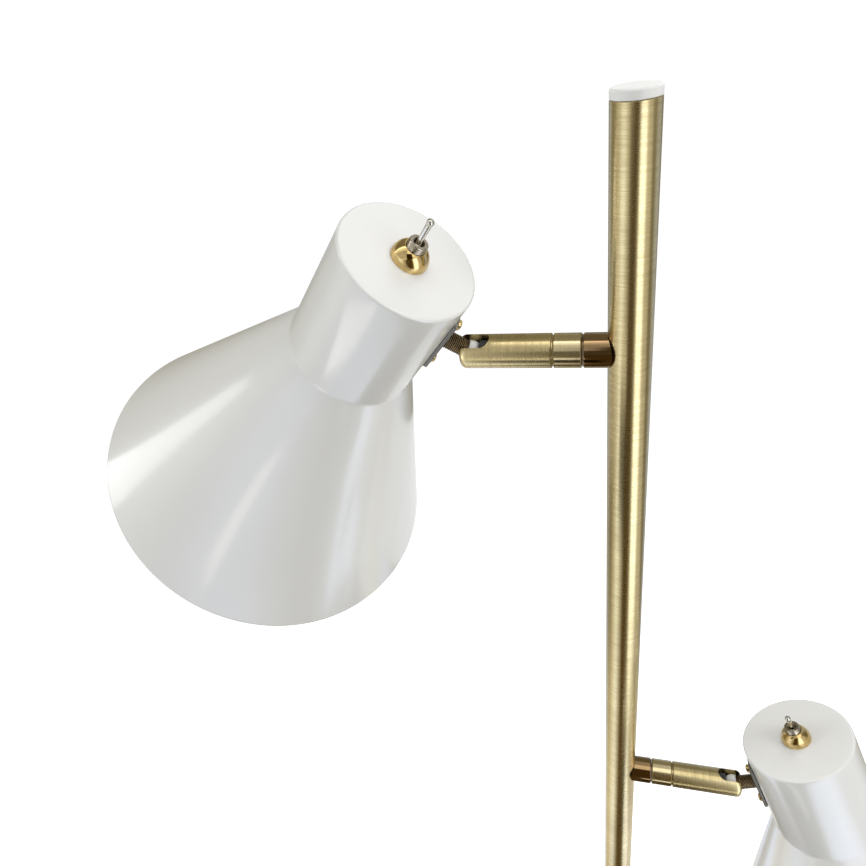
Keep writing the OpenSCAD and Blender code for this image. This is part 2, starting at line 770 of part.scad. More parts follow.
module dome_nut(upper) {
    dome_r = dome_d / 2;
    rise = 0.3;
    top_angle = asin((dome_h - rise) / dome_r);
    profile = concat(
        [[rod_hole_r, 0], [dome_r, 0]],
        arc(0, rise, dome_r, 0, top_angle, 12),
        [[rod_hole_r, dome_h]]);
    color(polished_brass) at_cap(upper) rotate_extrude() polygon(profile);
}

// Threaded bushing with a flange under the cap and a throat that lets the lever swing
module toggle_bushing(upper) {
    throat_r = lever_ball_r - 0.35;
    mouth = throat_r + (bushing_h - bushing_throat_h) * 0.45;
    thread_from = dome_h - 2;
    profile = concat(
        [[0, -shade_wall - flange_t], [flange_r, -shade_wall - flange_t], [flange_r, -shade_wall],
         [thread_r, -shade_wall], [thread_r, thread_from]],
        ridges(thread_r, thread_root_r, thread_from, bushing_h - 0.4, thread_pitch),
        [[thread_r, bushing_h - 0.4], [thread_r - 0.4, bushing_h], [mouth, bushing_h],
         [throat_r, bushing_throat_h], [bushing_cavity_r, bushing_throat_h],
         [bushing_cavity_r, bushing_floor], [0, bushing_floor]]);
    color(nickel) at_cap(upper) rotate_extrude() polygon(profile);
}

module toggle_body(upper) {
    color([0.16, 0.14, 0.12]) at_head(upper) translate([neck_x, 0, terminal_z]) union() {
        translate([-body_x / 2, -body_y / 2, 0]) cube([body_x, body_y, body_l]);
        for (x = [-terminal_x, terminal_x]) translate([x - terminal_t / 2, -terminal_w / 2, -terminal_w])
            cube([terminal_t, terminal_w, terminal_w + cut]);
    }
}

// Lever at one end of its throw: tail and ball inside the bushing, tapered shaft and ball tip outside
module toggle_lever(upper) {
    color(chrome) at_cap(upper) translate([0, 0, lever_pivot_h]) rotate([lever_throw, 0, 0]) union() {
        sphere(r = lever_ball_r);
        cylinder(r1 = lever_d / 2, r2 = lever_d / 2 + lever_flare, h = lever_l);
        translate([0, 0, lever_l]) sphere(r = lever_tip_d / 2);
        translate([0, 0, -lever_tail_l]) cylinder(r = lever_tail_r, h = lever_tail_l);
    }
}

// Leads from the ball through the stem, then to the switch and from there to the lampholder
module head_leads(upper) {
    stem_out = stem_end + 2;
    side = lead_core_r + 0.2;
    clip_x = terminal_x + terminal_t / 2 + lead_core_r + 0.2;
    clip_z = terminal_z - 0.5;
    color([0.80, 0.79, 0.75]) at_head(upper) union() {
        swept_tube([[tenon_end, 0, 0], [ball_r, 0, 0], [stem_out, 0, 0]], branch_r);
        swept_tube([
            [stem_out - 0.5, side, 0.4], [stem_out + 6, side, 2], [neck_x - 8, side, 5],
            [neck_x - clip_x, side, clip_z - 3], [neck_x - clip_x, side, clip_z]], lead_core_r);
        swept_tube([
            [stem_out - 0.5, -side, -0.4], [stem_out + 6, -side, -2], [neck_x - 7, -side, -7],
            [neck_x - 1, -side, -12], [neck_x, -side, shelf_top + 4],
            [neck_x, -side, nipple_end]], lead_core_r);
        swept_tube([
            [neck_x + clip_x, side, clip_z], [neck_x + clip_x, side, clip_z - 3], [neck_x + 7, side, 0],
            [neck_x + 4, side, -9], [neck_x, side, shelf_top + 4], [neck_x, side, nipple_end]], lead_core_r);
    }
}

foot_pad();
base_plate();
base_plate_screws();
base_weight();
base_cover();
cord_grommet();
base_nut();
base_nipple();
lower_pole();
upper_pole();
pole_inserts();
joint_nipple();
pole_cap();
pole_lead();
arm_spindles();
spindle_nuts();
friction_washers();
stop_pins();
collar(true);  // upper_collar
swivel_ring(true);  // upper_ring
fork_tube(true);  // upper_fork_tube
seat_spring(true);  // upper_seat_spring
seat_cup(true);  // upper_seat_cup
ball(true);  // upper_ball
stem(true);  // upper_stem
stem_nut(true);  // upper_stem_nut
strap(true);  // upper_strap
strap_screws(true);  // upper_strap_screws
bracket(true);  // upper_bracket
shade(true);  // upper_shade
holder_nipple(true);  // upper_holder_nipple
lampholder(true);  // upper_lampholder
bulb(true);  // upper_bulb
dome_nut(true);  // upper_dome_nut
toggle_bushing(true);  // upper_toggle_bushing
toggle_body(true);  // upper_toggle_body
toggle_lever(true);  // upper_toggle_lever
head_leads(true);  // upper_head_leads
collar(false);  // lower_collar
swivel_ring(false);  // lower_ring
fork_tube(false);  // lower_fork_tube
seat_spring(false);  // lower_seat_spring
seat_cup(false);  // lower_seat_cup
ball(false);  // lower_ball
stem(false);  // lower_stem
stem_nut(false);  // lower_stem_nut
strap(false);  // lower_strap
strap_screws(false);  // lower_strap_screws
bracket(false);  // lower_bracket
shade(false);  // lower_shade
holder_nipple(false);  // lower_holder_nipple
lampholder(false);  // lower_lampholder
bulb(false);  // lower_bulb
dome_nut(false);  // lower_dome_nut
toggle_bushing(false);  // lower_toggle_bushing
toggle_body(false);  // lower_toggle_body
toggle_lever(false);  // lower_toggle_lever
head_leads(false);  // lower_head_leads
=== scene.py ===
"""Looks of a two-head floor lamp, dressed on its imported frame.

Lengths are in millimetres in the frame of the piece that they belong to, and become metres when a mesh is
placed. Each lathe-turned piece is built along the Z axis of its own local frame.
"""
import json
import logging
import math
from dataclasses import dataclass, field
from enum import Enum

import bmesh
import bpy
from mathutils import Matrix, Vector


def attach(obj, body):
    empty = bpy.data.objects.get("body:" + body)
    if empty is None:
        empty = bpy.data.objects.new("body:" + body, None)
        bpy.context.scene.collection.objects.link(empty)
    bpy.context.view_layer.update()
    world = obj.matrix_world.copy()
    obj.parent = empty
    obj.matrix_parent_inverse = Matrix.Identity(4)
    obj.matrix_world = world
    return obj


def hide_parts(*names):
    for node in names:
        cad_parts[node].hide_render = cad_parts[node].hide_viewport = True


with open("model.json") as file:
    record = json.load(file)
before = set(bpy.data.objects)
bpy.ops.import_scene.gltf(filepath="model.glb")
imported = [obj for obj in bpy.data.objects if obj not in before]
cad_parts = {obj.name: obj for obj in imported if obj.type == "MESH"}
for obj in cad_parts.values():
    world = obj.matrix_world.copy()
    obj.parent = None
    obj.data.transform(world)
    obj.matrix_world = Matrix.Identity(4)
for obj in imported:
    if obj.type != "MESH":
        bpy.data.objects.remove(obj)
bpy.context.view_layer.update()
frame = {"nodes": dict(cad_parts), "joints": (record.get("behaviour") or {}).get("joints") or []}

logging.basicConfig(level=logging.INFO, format="%(message)s")
log = logging.getLogger("lamp")

MM = 0.001
MM_PER_METRE = 1000.0
SLIP = 0.05
CREASE = 38.0
EDGE = "edge"
Point = tuple[float, float]
Place = tuple[float, float, float]
Colour = tuple[float, float, float]
BMesh = bmesh.types.BMesh
Material = bpy.types.Material
Node = bpy.types.Node
Object = bpy.types.Object
Socket = bpy.types.NodeSocket
Tree = bpy.types.NodeTree


class Side(Enum):
    """The two heads of the lamp."""

    UPPER = "upper"
    LOWER = "lower"


class Slot(Enum):
    """The record's material slots that the pieces take their finishes from."""

    ENAMEL = "white_enamel"
    BRUSHED_BRASS = "antique_brass"
    TURNED_BRASS = "turned_brass"
    DARK_BRASS = "dark_brass"
    POLISHED_BRASS = "polished_brass"
    BRONZE = "bronze_thread"
    NICKEL = "nickel"
    CHROME = "chrome"
    BALL = "ball_white"
    BLACK_STEEL = "black_steel"
    ZINC = "zinc_steel"
    IRON = "cast_iron"
    RUBBER = "rubber_black"
    FRICTION = "friction_plastic"
    SWITCH = "switch_plastic"
    CAP = "cap_white"
    HOLDER = "holder_white"
    OPAL = "bulb_opal"
    LEAD = "lead_cover"


# ---- Local frames ----


@dataclass(frozen=True)
class LocalFrame:
    """A place and a turn in the lamp's own frame.

    Attributes:
        name: Word that tells the frames apart in names of materials.
        origin: Origin in metres.
        turn: 3x3 matrix whose columns are the local axes.
    """

    name: str
    origin: Vector
    turn: Matrix

    def matrix(self) -> Matrix:
        """Matrix that takes local millimetres to metres in the lamp's frame."""
        return Matrix.Translation(self.origin) @ self.turn.to_4x4() @ Matrix.Scale(MM, 4)

    def moved(self, x: float, y: float, z: float) -> "LocalFrame":
        """The same axes about a point given in local millimetres."""
        return LocalFrame(self.name, self.origin + self.turn @ (Vector((x, y, z)) * MM), self.turn)

    def along_x(self) -> "LocalFrame":
        """The frame whose Z axis is this one's X axis."""
        x, y, z = self.turn.col
        return LocalFrame(self.name + "_x", self.origin, Matrix((-z, y, x)).transposed())

    def turned_x(self, degrees: float) -> "LocalFrame":
        """The frame turned about its own X axis."""
        return LocalFrame(
            self.name + "_t", self.origin, self.turn @ Matrix.Rotation(math.radians(degrees), 3, "X")
        )


def joint(name: str) -> tuple[Vector, Vector]:
    """Reads a joint of the frame.

    Args:
        name: The joint's name.

    Returns:
        Its position in metres and its unit axis.
    """
    row = next(j for j in frame["joints"] if j["name"] == name)
    return Vector(row["pos_m"]), Vector(row["axis"]).normalized()


def world_frame() -> LocalFrame:
    """The lamp's own frame, with its Z axis up the pole."""
    return LocalFrame("pole", Vector((0, 0, 0)), Matrix.Identity(3))


def fork_frame(side: Side) -> LocalFrame:
    """The turning arm's frame: origin on the pole's axis, X out along the arm, Z on the slotted side."""
    pivot, tilt = joint(f"{side.value}_head_tilt")
    _, along = joint(f"{side.value}_arm_swivel")
    y = -tilt
    z = along.cross(y).normalized()
    return LocalFrame(f"{side.value}_arm", Vector((0, 0, pivot.z)), Matrix((along, y, z)).transposed())


def head_frame(side: Side) -> LocalFrame:
    """The head's frame: origin in the ball's centre, X to the shade's axis, -Z along the shade."""
    pivot, tilt = joint(f"{side.value}_head_tilt")
    _, lever = joint(f"{side.value}_switch_toggle")
    x, y = -lever, -tilt
    z = x.cross(y).normalized()
    return LocalFrame(f"{side.value}_head", pivot, Matrix((x, y, z)).transposed())


# ---- Profiles and lathe work ----


def arc(cx: float, cy: float, radius: float, start: float, end: float, steps: int = 8) -> list[Point]:
    """Points of an arc in the profile's plane.

    Args:
        cx: Centre's distance from the axis.
        cy: Centre's height.
        radius: Radius of the arc.
        start: First angle in degrees.
        end: Last angle in degrees.
        steps: Number of chords.

    Returns:
        The points, both ends included.
    """
    turns = [math.radians(start + (end - start) * i / steps) for i in range(steps + 1)]
    return [(cx + radius * math.cos(t), cy + radius * math.sin(t)) for t in turns]


def eased(profile: list[Point], radius: float, steps: int = 3, least: float = 25) -> list[Point]:
    """Rounds the sharp corners of a closed profile and puts a support point beside each.

    Args:
        profile: Closed polygon of (radius, height) points.
        radius: Radius of the rounding.
        steps: Chords in each rounding.
        least: Smallest turn in degrees that counts as a corner.

    Returns:
        The rounded profile.
    """
    made: list[Point] = []
    count = len(profile)
    for i, here in enumerate(profile):
        p, q, s = Vector(profile[i - 1]), Vector(here), Vector(profile[(i + 1) % count])
        a, b = p - q, s - q
        if a.length < 1e-6 or b.length < 1e-6:
            continue
        turn = math.pi - a.angle(b)
        if math.degrees(turn) < least or here[0] < 1e-4:
            made.append(here)
            continue
        back = min(radius * math.tan(turn / 2), 0.42 * a.length, 0.42 * b.length)
        start, end = q + a.normalized() * back, q + b.normalized() * back
        if a.length > 6 * back:
            made.append(tuple(start + a.normalized() * back * 1.5))
        for k in range(steps + 1):
            t = k / steps
            made.append(tuple(start * (1 - t) ** 2 + q * (2 * t * (1 - t)) + end * t * t))
        if b.length > 6 * back:
            made.append(tuple(end + b.normalized() * back * 1.5))
    return made


def spaced(profile: list[Point], step: float) -> list[Point]:
    """Cuts the long straight runs of a closed profile into equal steps."""
    made: list[Point] = []
    for i, here in enumerate(profile):
        a, b = Vector(here), Vector(profile[(i + 1) % len(profile)])
        parts = max(1, round((b - a).length / step))
        made += [tuple(a.lerp(b, k / parts)) for k in range(parts)]
    return made


def settle(bm: BMesh) -> BMesh:
    """Merges doubles and turns every face outwards."""
    bmesh.ops.remove_doubles(bm, verts=bm.verts, dist=1e-5)
    bmesh.ops.recalc_face_normals(bm, faces=bm.faces)
    if bm.calc_volume(signed=True) < 0:
        bmesh.ops.reverse_faces(bm, faces=bm.faces)
    return bm


def lathe(profile: list[Point], segments: int = 96) -> BMesh:
    """Turns a closed profile about the Z axis.

    Args:
        profile: Closed polygon of (radius, height) points. Points on the axis become poles.
        segments: Steps round the axis.

    Returns:
        A closed mesh whose faces on rounded corners carry the edge attribute.
    """
    bm = bmesh.new()
    mark = bm.faces.layers.float.new(EDGE)
    rings = []
    for r, z in profile:
        if r < 1e-6:
            rings.append([bm.verts.new((0, 0, z))])
        else:
            turns = [2 * math.pi * k / segments for k in range(segments)]
            rings.append([bm.verts.new((r * math.cos(t), r * math.sin(t), z)) for t in turns])
    count = len(profile)
    runs = [Vector(profile[(i + 1) % count]) - Vector(profile[i]) for i in range(count)]

    def bend(a: Vector, b: Vector) -> float:
        """Turn between two runs of the profile, in degrees."""
        return math.degrees(a.angle(b)) if a.length > 1e-6 and b.length > 1e-6 else 0.0

    for i in range(count):
        near, far = rings[i], rings[(i + 1) % count]
        if len(near) == 1 and len(far) == 1:
            continue
        short = runs[i].length < 0.8
        sharp = max(bend(runs[i - 1], runs[i]), bend(runs[i], runs[(i + 1) % count])) > 12
        for k in range(segments):
            k2 = (k + 1) % segments
            if len(near) == 1:
                corners = [near[0], far[k], far[k2]]
            elif len(far) == 1:
                corners = [near[k], far[0], near[k2]]
            else:
                corners = [near[k], far[k], far[k2], near[k2]]
            face = bm.faces.new(corners)
            face[mark] = 1.0 if short and sharp else 0.0
    return settle(bm)


def rod(radius: float, start: float, end: float, segments: int = 48) -> BMesh:
    """A plain cylinder along Z that serves as a cutter."""
    return lathe([(0, start), (radius, start), (radius, end), (0, end)], segments)


def block(low: Place, high: Place) -> BMesh:
    """A plain box between two corners that serves as a cutter."""
    bm = bmesh.new()
    size = Vector(high) - Vector(low)
    middle = (Vector(high) + Vector(low)) / 2
    bmesh.ops.create_cube(bm, size=1, matrix=Matrix.Translation(middle) @ Matrix.Diagonal((*size, 1)))
    return bm


def turned(bm: BMesh, matrix: Matrix) -> BMesh:
    """The same mesh moved by a matrix."""
    bm.transform(matrix)
    return bm


def scratch_object(bm: BMesh) -> Object:
    """Puts a mesh into a temporary object and frees it."""
    mesh = bpy.data.meshes.new("scratch")
    bm.to_mesh(mesh)
    bm.free()
    obj = bpy.data.objects.new("scratch", mesh)
    bpy.context.scene.collection.objects.link(obj)
    return obj


def evaluated_mesh(obj: Object) -> bpy.types.Mesh:
    """The plain mesh of an object with its modifiers applied."""
    graph = bpy.context.evaluated_depsgraph_get()
    graph.update()
    return bpy.data.meshes.new_from_object(
        obj.evaluated_get(graph), preserve_all_data_layers=True, depsgraph=graph
    )


def carved(bm: BMesh, cutters: list[BMesh]) -> BMesh:
    """Cuts closed meshes out of another.

    Args:
        bm: The mesh that is cut. It is freed.
        cutters: The meshes that are taken away. They are freed.

    Returns:
        The mesh that is left.
    """
    body = scratch_object(bm)
    tools = [scratch_object(c) for c in cutters]
    for tool in tools:
        modifier = body.modifiers.new("cut", "BOOLEAN")
        modifier.object = tool
        modifier.operation = "DIFFERENCE"
        modifier.solver = "EXACT"
    mesh = evaluated_mesh(body)
    made = bmesh.new()
    made.from_mesh(mesh)
    for obj in [body, *tools]:
        bpy.data.objects.remove(obj)
    bpy.data.meshes.remove(mesh)
    return made


def broken_edges(bm: BMesh, width: float, least: float = 40) -> BMesh:
    """Breaks the sharp outer edges of a mesh with a small rounding.

    Args:
        bm: The mesh, whose flat faces are merged first.
        width: Width of the rounding in the mesh's units.
        least: Smallest angle in degrees between two faces that counts as an edge.

    Returns:
        The same mesh with the edge attribute on the new faces.
    """
    bmesh.ops.remove_doubles(bm, verts=bm.verts, dist=width * 0.01)
    bmesh.ops.dissolve_limit(
        bm, angle_limit=math.radians(0.5), verts=bm.verts, edges=bm.edges, delimit={"NORMAL"}
    )
    mark = bm.faces.layers.float.get(EDGE) or bm.faces.layers.float.new(EDGE)
    limit = math.radians(least)
    sharp = [e for e in bm.edges if len(e.link_faces) == 2 and e.calc_face_angle(0) > limit]
    made = bmesh.ops.bevel(
        bm, geom=sharp, offset=width, segments=2, profile=0.6, affect="EDGES", clamp_overlap=True
    )
    for face in made["faces"]:
        face[mark] = 1.0
    return bm


# ---- Node trees ----


class Value:
    """A node's result, which arithmetic carries on into Math nodes."""

    def __init__(self, nodes: "Nodes", socket: Socket) -> None:
        """Wraps a socket.

        Args:
            nodes: The builder that adds the Math nodes.
            socket: The socket that holds the result.
        """
        self.nodes = nodes
        self.socket = socket

    def __add__(self, other: object) -> "Value":
        """This plus another."""
        return self.nodes.math("ADD", self, other)

    def __sub__(self, other: object) -> "Value":
        """This less another."""
        return self.nodes.math("SUBTRACT", self, other)

    def __rsub__(self, other: float) -> "Value":
        """A number less this."""
        return self.nodes.math("SUBTRACT", other, self)

    def __mul__(self, other: object) -> "Value":
        """This times another."""
        return self.nodes.math("MULTIPLY", self, other)

    def __truediv__(self, other: object) -> "Value":
        """This over another."""
        return self.nodes.math("DIVIDE", self, other)

    def __rtruediv__(self, other: float) -> "Value":
        """A number over this."""
        return self.nodes.math("DIVIDE", other, self)


class Nodes:
    """Short hand for building a node tree."""

    MIX_FACTOR, MIX_A, MIX_B, MIX_RESULT = 0, 6, 7, 2

    def __init__(self, tree: Tree) -> None:
        """Wraps a tree.

        Args:
            tree: The tree that nodes are added to.
        """
        self.tree = tree

    def put(self, socket: Socket, value: object) -> None:
        """Feeds a socket.

        Args:
            socket: The socket that is fed.
            value: A node's result, another socket or a plain value.
        """
        if isinstance(value, Value):
            value = value.socket
        if isinstance(value, Socket):
            self.tree.links.new(value, socket)
        elif socket.type == "RGBA" and len(value) == 3:
            socket.default_value = (*value, 1)
        else:
            socket.default_value = value

    def add(self, kind: str, inputs: dict[str | int, object] | None = None, **settings: object) -> Node:
        """Adds a node and feeds it.

        Args:
            kind: The node's type.
            inputs: What its inputs get, by name or place.
            settings: Properties by name.

        Returns:
            The new node.
        """
        node = self.tree.nodes.new(kind)
        for key, value in settings.items():
            setattr(node, key, value)
        for key, value in (inputs or {}).items():
            self.put(node.inputs[key], value)
        return node

    def result(
        self, output: str | int, kind: str, inputs: dict[str | int, object] | None = None, **settings: object
    ) -> Value:
        """Adds a node and returns one of its outputs, by name or place."""
        return Value(self, self.add(kind, inputs, **settings).outputs[output])

    def math(self, operation: str, *values: object) -> Value:
        """Adds a Math node and returns its result."""
        return self.result(0, "ShaderNodeMath", dict(enumerate(values)), operation=operation)

    def combine(self, x: object, y: object, z: object) -> Value:
        """Adds a Combine XYZ node and returns its vector."""
        return self.result(0, "ShaderNodeCombineXYZ", {0: x, 1: y, 2: z})

    def separate(self, vector: object) -> list[Value]:
        """Adds a Separate XYZ node and returns its three parts."""
        node = self.add("ShaderNodeSeparateXYZ", {0: vector})
        return [Value(self, part) for part in node.outputs]

    def times(self, a: object, b: object) -> Value:
        """Multiplies two vectors part by part."""
        return self.result(0, "ShaderNodeVectorMath", {0: a, 1: b}, operation="MULTIPLY")

    def noise(self, vector: object, scale: object, detail: float, rough: float) -> Value:
        """Adds a Noise Texture and returns its value."""
        inputs = {"Vector": vector, "Scale": scale, "Detail": detail, "Roughness": rough}
        return self.result("Fac", "ShaderNodeTexNoise", inputs)

    def spread(
        self, value: object, low: object, high: object, to_low: float = 0.0, to_high: float = 1.0
    ) -> Value:
        """Maps a range of a value to another range, held at its ends."""
        numbers = dict(enumerate((value, low, high, to_low, to_high)))
        return self.result(0, "ShaderNodeMapRange", numbers, clamp=True)

    def blend(self, factor: object, a: object, b: object) -> Value:
        """Mixes two colours."""
        inputs = {self.MIX_FACTOR: factor, self.MIX_A: a, self.MIX_B: b}
        return self.result(self.MIX_RESULT, "ShaderNodeMix", inputs, data_type="RGBA")

    def seen(self) -> Value:
        """One for rays that show a surface to the eye or in a mirror, zero for those that carry its light."""
        path = self.add("ShaderNodeLightPath").outputs
        mirrored = self.math("MAXIMUM", path["Is Camera Ray"], path["Is Glossy Ray"])
        return self.math("MAXIMUM", mirrored, path["Is Transmission Ray"])


FLOAT = "NodeSocketFloat"
INTEGER = "NodeSocketInt"
VECTOR = "NodeSocketVector"
GEOMETRY = "NodeSocketGeometry"
MATERIAL = "NodeSocketMaterial"


def new_group(
    name: str, kind: str, inputs: dict[str, str | int | float], outputs: dict[str, str]
) -> tuple[Nodes, dict[str, Value], Node]:
    """Starts a node group with named sockets.

    Args:
        name: The group's name.
        kind: ShaderNodeTree or GeometryNodeTree.
        inputs: Default number or socket type of each input by name.
        outputs: Socket type of each output by name.

    Returns:
        The tree's builder, its inputs by name and its output node.
    """
    tree = bpy.data.node_groups.new(name, kind)
    for key, given in inputs.items():
        plain = INTEGER if isinstance(given, int) else FLOAT
        socket_type = given if isinstance(given, str) else plain
        socket = tree.interface.new_socket(key, in_out="INPUT", socket_type=socket_type)
        if not isinstance(given, str):
            socket.default_value = given
    for key, socket_type in outputs.items():
        tree.interface.new_socket(key, in_out="OUTPUT", socket_type=socket_type)
    nodes = Nodes(tree)
    ends = nodes.add("NodeGroupInput").outputs
    return nodes, {s.name: Value(nodes, s) for s in ends if s.name}, nodes.add("NodeGroupOutput")


class Effects:
    """Shader groups that several finishes share."""

    noise_span: tuple[float, float] = (0.36, 0.64)

    def __init__(self) -> None:
        """Builds each group once."""
        self.grain = self._grain()
        self.clouds = self._clouds()
        self.flecks = self._flecks()

    def _grain(self) -> Tree:
        """Fine lines that run round the local Z axis, as a lathe tool or a brushing wheel leaves them."""
        nodes, given, out = new_group(
            "turning_lines", "ShaderNodeTree", {"Vector": VECTOR, "Fine": 0.4, "Coarse": 1.6, "Reach": 20.0},
            {"Mask": FLOAT, "Height": FLOAT},
        )
        across = MM_PER_METRE / given["Reach"]

        def lines(width: Value, detail: float) -> Value:
            """Noise drawn out round the axis, with a step of the given width along it."""
            stretched = nodes.times(given["Vector"], nodes.combine(across, across, MM_PER_METRE / width))
            return nodes.noise(stretched, 1.0, detail, 0.6)

        both = lines(given["Fine"], 2.0) * 0.55 + lines(given["Coarse"], 3.0) * 0.45
        nodes.put(out.inputs["Mask"], nodes.spread(both, *self.noise_span))
        nodes.put(out.inputs["Height"], both)
        return nodes.tree

    def _clouds(self) -> Tree:
        """Soft uneven patches, such as tarnish, haze or handling marks."""
        nodes, given, out = new_group(
            "soft_patches", "ShaderNodeTree", {"Vector": VECTOR, "Size": 12.0}, {"Mask": FLOAT}
        )
        value = nodes.noise(given["Vector"], MM_PER_METRE / given["Size"], 4.0, 0.55)
        nodes.put(out.inputs["Mask"], nodes.spread(value, *self.noise_span))
        return nodes.tree

    def _flecks(self) -> Tree:
        """Small scattered specks and pits."""
        nodes, given, out = new_group(
            "small_flecks", "ShaderNodeTree", {"Vector": VECTOR, "Size": 0.8, "Share": 0.25},
            {"Mask": FLOAT, "Height": FLOAT},
        )
        value = nodes.noise(given["Vector"], MM_PER_METRE / given["Size"], 2.0, 0.5)
        edge = nodes.spread(given["Share"], 0.0, 1.0, 0.72, 0.38)
        nodes.put(out.inputs["Mask"], nodes.spread(value, edge, edge + 0.08))
        nodes.put(out.inputs["Height"], value)
        return nodes.tree


EFFECTS = Effects()


class Paint(Nodes):
    """A material under construction, with its shader and its local coordinates."""

    def __init__(self, name: str, place: LocalFrame) -> None:
        """Starts a material.

        Args:
            name: The material's name.
            place: Frame whose Z axis the finish's lines run round.
        """
        self.material = bpy.data.materials.new(name)
        self.material.use_nodes = True
        super().__init__(self.material.node_tree)
        self.shader = self.tree.nodes["Principled BSDF"]
        self.lies = abs(place.turn.col[2].x) > 0.5
        inputs = {
            "Vector": self.add("ShaderNodeTexCoord").outputs["Object"],
            "Location": place.origin,
            "Rotation": place.turn.to_euler(),
        }
        self.place = self.result(0, "ShaderNodeMapping", inputs, vector_type="TEXTURE")

    def fix(self, **values: object) -> None:
        """Sets sockets of the shader by name, with underscores for spaces."""
        for key, value in values.items():
            self.put(self.shader.inputs[key.replace("_", " ")], value)

    def effect(self, tree: Tree, **values: float) -> dict[str, Value]:
        """Places a shared effect on the local coordinates and returns its outputs by name."""
        node = self.add("ShaderNodeGroup", {"Vector": self.place, **values}, node_tree=tree)
        return {s.name: Value(self, s) for s in node.outputs}

    def patches(self, size: float) -> Value:
        """The mask of soft patches of a size in millimetres."""
        return self.effect(EFFECTS.clouds, Size=size)["Mask"]

    def edge(self) -> Value:
        """The mask of rounded edges that the mesh carries."""
        return self.result("Fac", "ShaderNodeAttribute", attribute_name=EDGE)

    def bump(self, height: Value, depth: float) -> None:
        """Raises the surface by a height from 0 to 1 times a depth in millimetres."""
        inputs = {"Strength": 1.0, "Distance": depth * MM, "Height": height}
        self.fix(Normal=self.result(0, "ShaderNodeBump", inputs))


# ---- Finishes ----


class Finish:
    """A surface of the lamp, laid on a fresh material."""

    def build(self, name: str, place: LocalFrame) -> Material:
        """Builds the material for pieces in a frame.

        Args:
            name: The material's name.
            place: Frame whose Z axis the finish's lines run round.

        Returns:
            The material.
        """
        paint = Paint(name, place)
        self.lay(paint)
        return paint.material

    def lay(self, paint: Paint) -> None:
        """Lays the finish on a fresh material.

        Args:
            paint: The material under construction.
        """
        raise NotImplementedError


@dataclass(frozen=True)
class TurnedMetal(Finish):
    """Metal with lines round its axis, from a smooth turning cut to a coarse brushing."""

    colour: Colour
    dark: Colour
    # edge: colour painted on rounded edges and chamfers; darker on brass as painted shade of the joint lines
    # and ends, paler on bronze as a painted highlight on thread crests
    edge: Colour
    roughness: float
    fine: float = 0.4
    coarse: float = 1.6
    reach: float = 20.0
    contrast: float = 0.5
    depth: float = 0.02
    patch: float = 30.0
    coat: float = 0.0
    stretch: float = 0.0
    lying_stretch: float = 0.25

    def lay(self, paint: Paint) -> None:
        """Lays tarnish between the lines, a lacquer and a stretched shine, and paints the edge colour on
        rounded edges: painted shade along joints and ends, or a painted highlight on thread crests.

        Args:
            paint: The material, whose frame has its Z axis along the lamp's X or Z axis.
        """
        lines = paint.effect(EFFECTS.grain, Fine=self.fine, Coarse=self.coarse, Reach=self.reach)
        tarnish = (1.0 - lines["Mask"]) * self.contrast + paint.patches(self.patch) * (self.contrast * 0.35)
        base = paint.blend(tarnish, self.colour, self.dark)
        # painted shade (darker edge colour) or painted highlight (paler edge colour) laid on the rounded
        # edges
        base = paint.blend(paint.edge() * 0.8, base, self.edge)
        rough = tarnish * 0.12 + self.roughness
        paint.fix(Base_Color=base, Roughness=rough, Metallic=1.0, Coat_Weight=self.coat, Coat_Roughness=0.08)
        if self.stretch:
            round_axis = paint.result(
                0, "ShaderNodeTangent", direction_type="RADIAL", axis="X" if paint.lies else "Z"
            )
            stretch = self.lying_stretch if paint.lies else self.stretch
            paint.fix(Anisotropic=stretch, Anisotropic_Rotation=0.25, Tangent=round_axis)
        paint.bump(lines["Height"], self.depth)


@dataclass(frozen=True)
class PolishedMetal(Finish):
    """Bright metal with faint haze and hairlines."""

    colour: Colour
    dark: Colour
    roughness: float
    haze: float = 0.06
    patch: float = 4.0
    depth: float = 0.002

    def lay(self, paint: Paint) -> None:
        """Lays haze in patches over a mirror with hairlines.

        Args:
            paint: The material under construction.
        """
        patches = paint.patches(self.patch)
        lines = paint.effect(EFFECTS.grain, Fine=0.15, Coarse=0.6, Reach=6.0)
        base = paint.blend(patches * 0.5, self.colour, self.dark)
        paint.fix(Base_Color=base, Roughness=patches * self.haze + self.roughness, Metallic=1.0)
        paint.bump(lines["Height"], self.depth)


@dataclass(frozen=True)
class SheetMetal(Finish):
    """Rolled or plated steel with scratches, and bare metal where its edge was sheared."""

    colour: Colour
    patchy: Colour
    bare: Colour
    roughness: float
    metallic: float
    wear: float = 0.8
    patch: float = 5.0

    def lay(self, paint: Paint) -> None:
        """Lays an uneven skin that is worn through at the edges.

        Args:
            paint: The material under construction.
        """
        lines = paint.effect(EFFECTS.grain, Fine=0.3, Coarse=1.5, Reach=8.0)
        worn = paint.edge() * self.wear
        base = paint.blend(paint.patches(self.patch) * 0.6, self.colour, self.patchy)
        base = paint.blend(worn, base, self.bare)
        rough = lines["Mask"] * 0.12 + self.roughness
        paint.fix(Base_Color=base, Roughness=rough, Metallic=paint.math("MAXIMUM", self.metallic, worn))
        paint.bump(lines["Height"], 0.006)


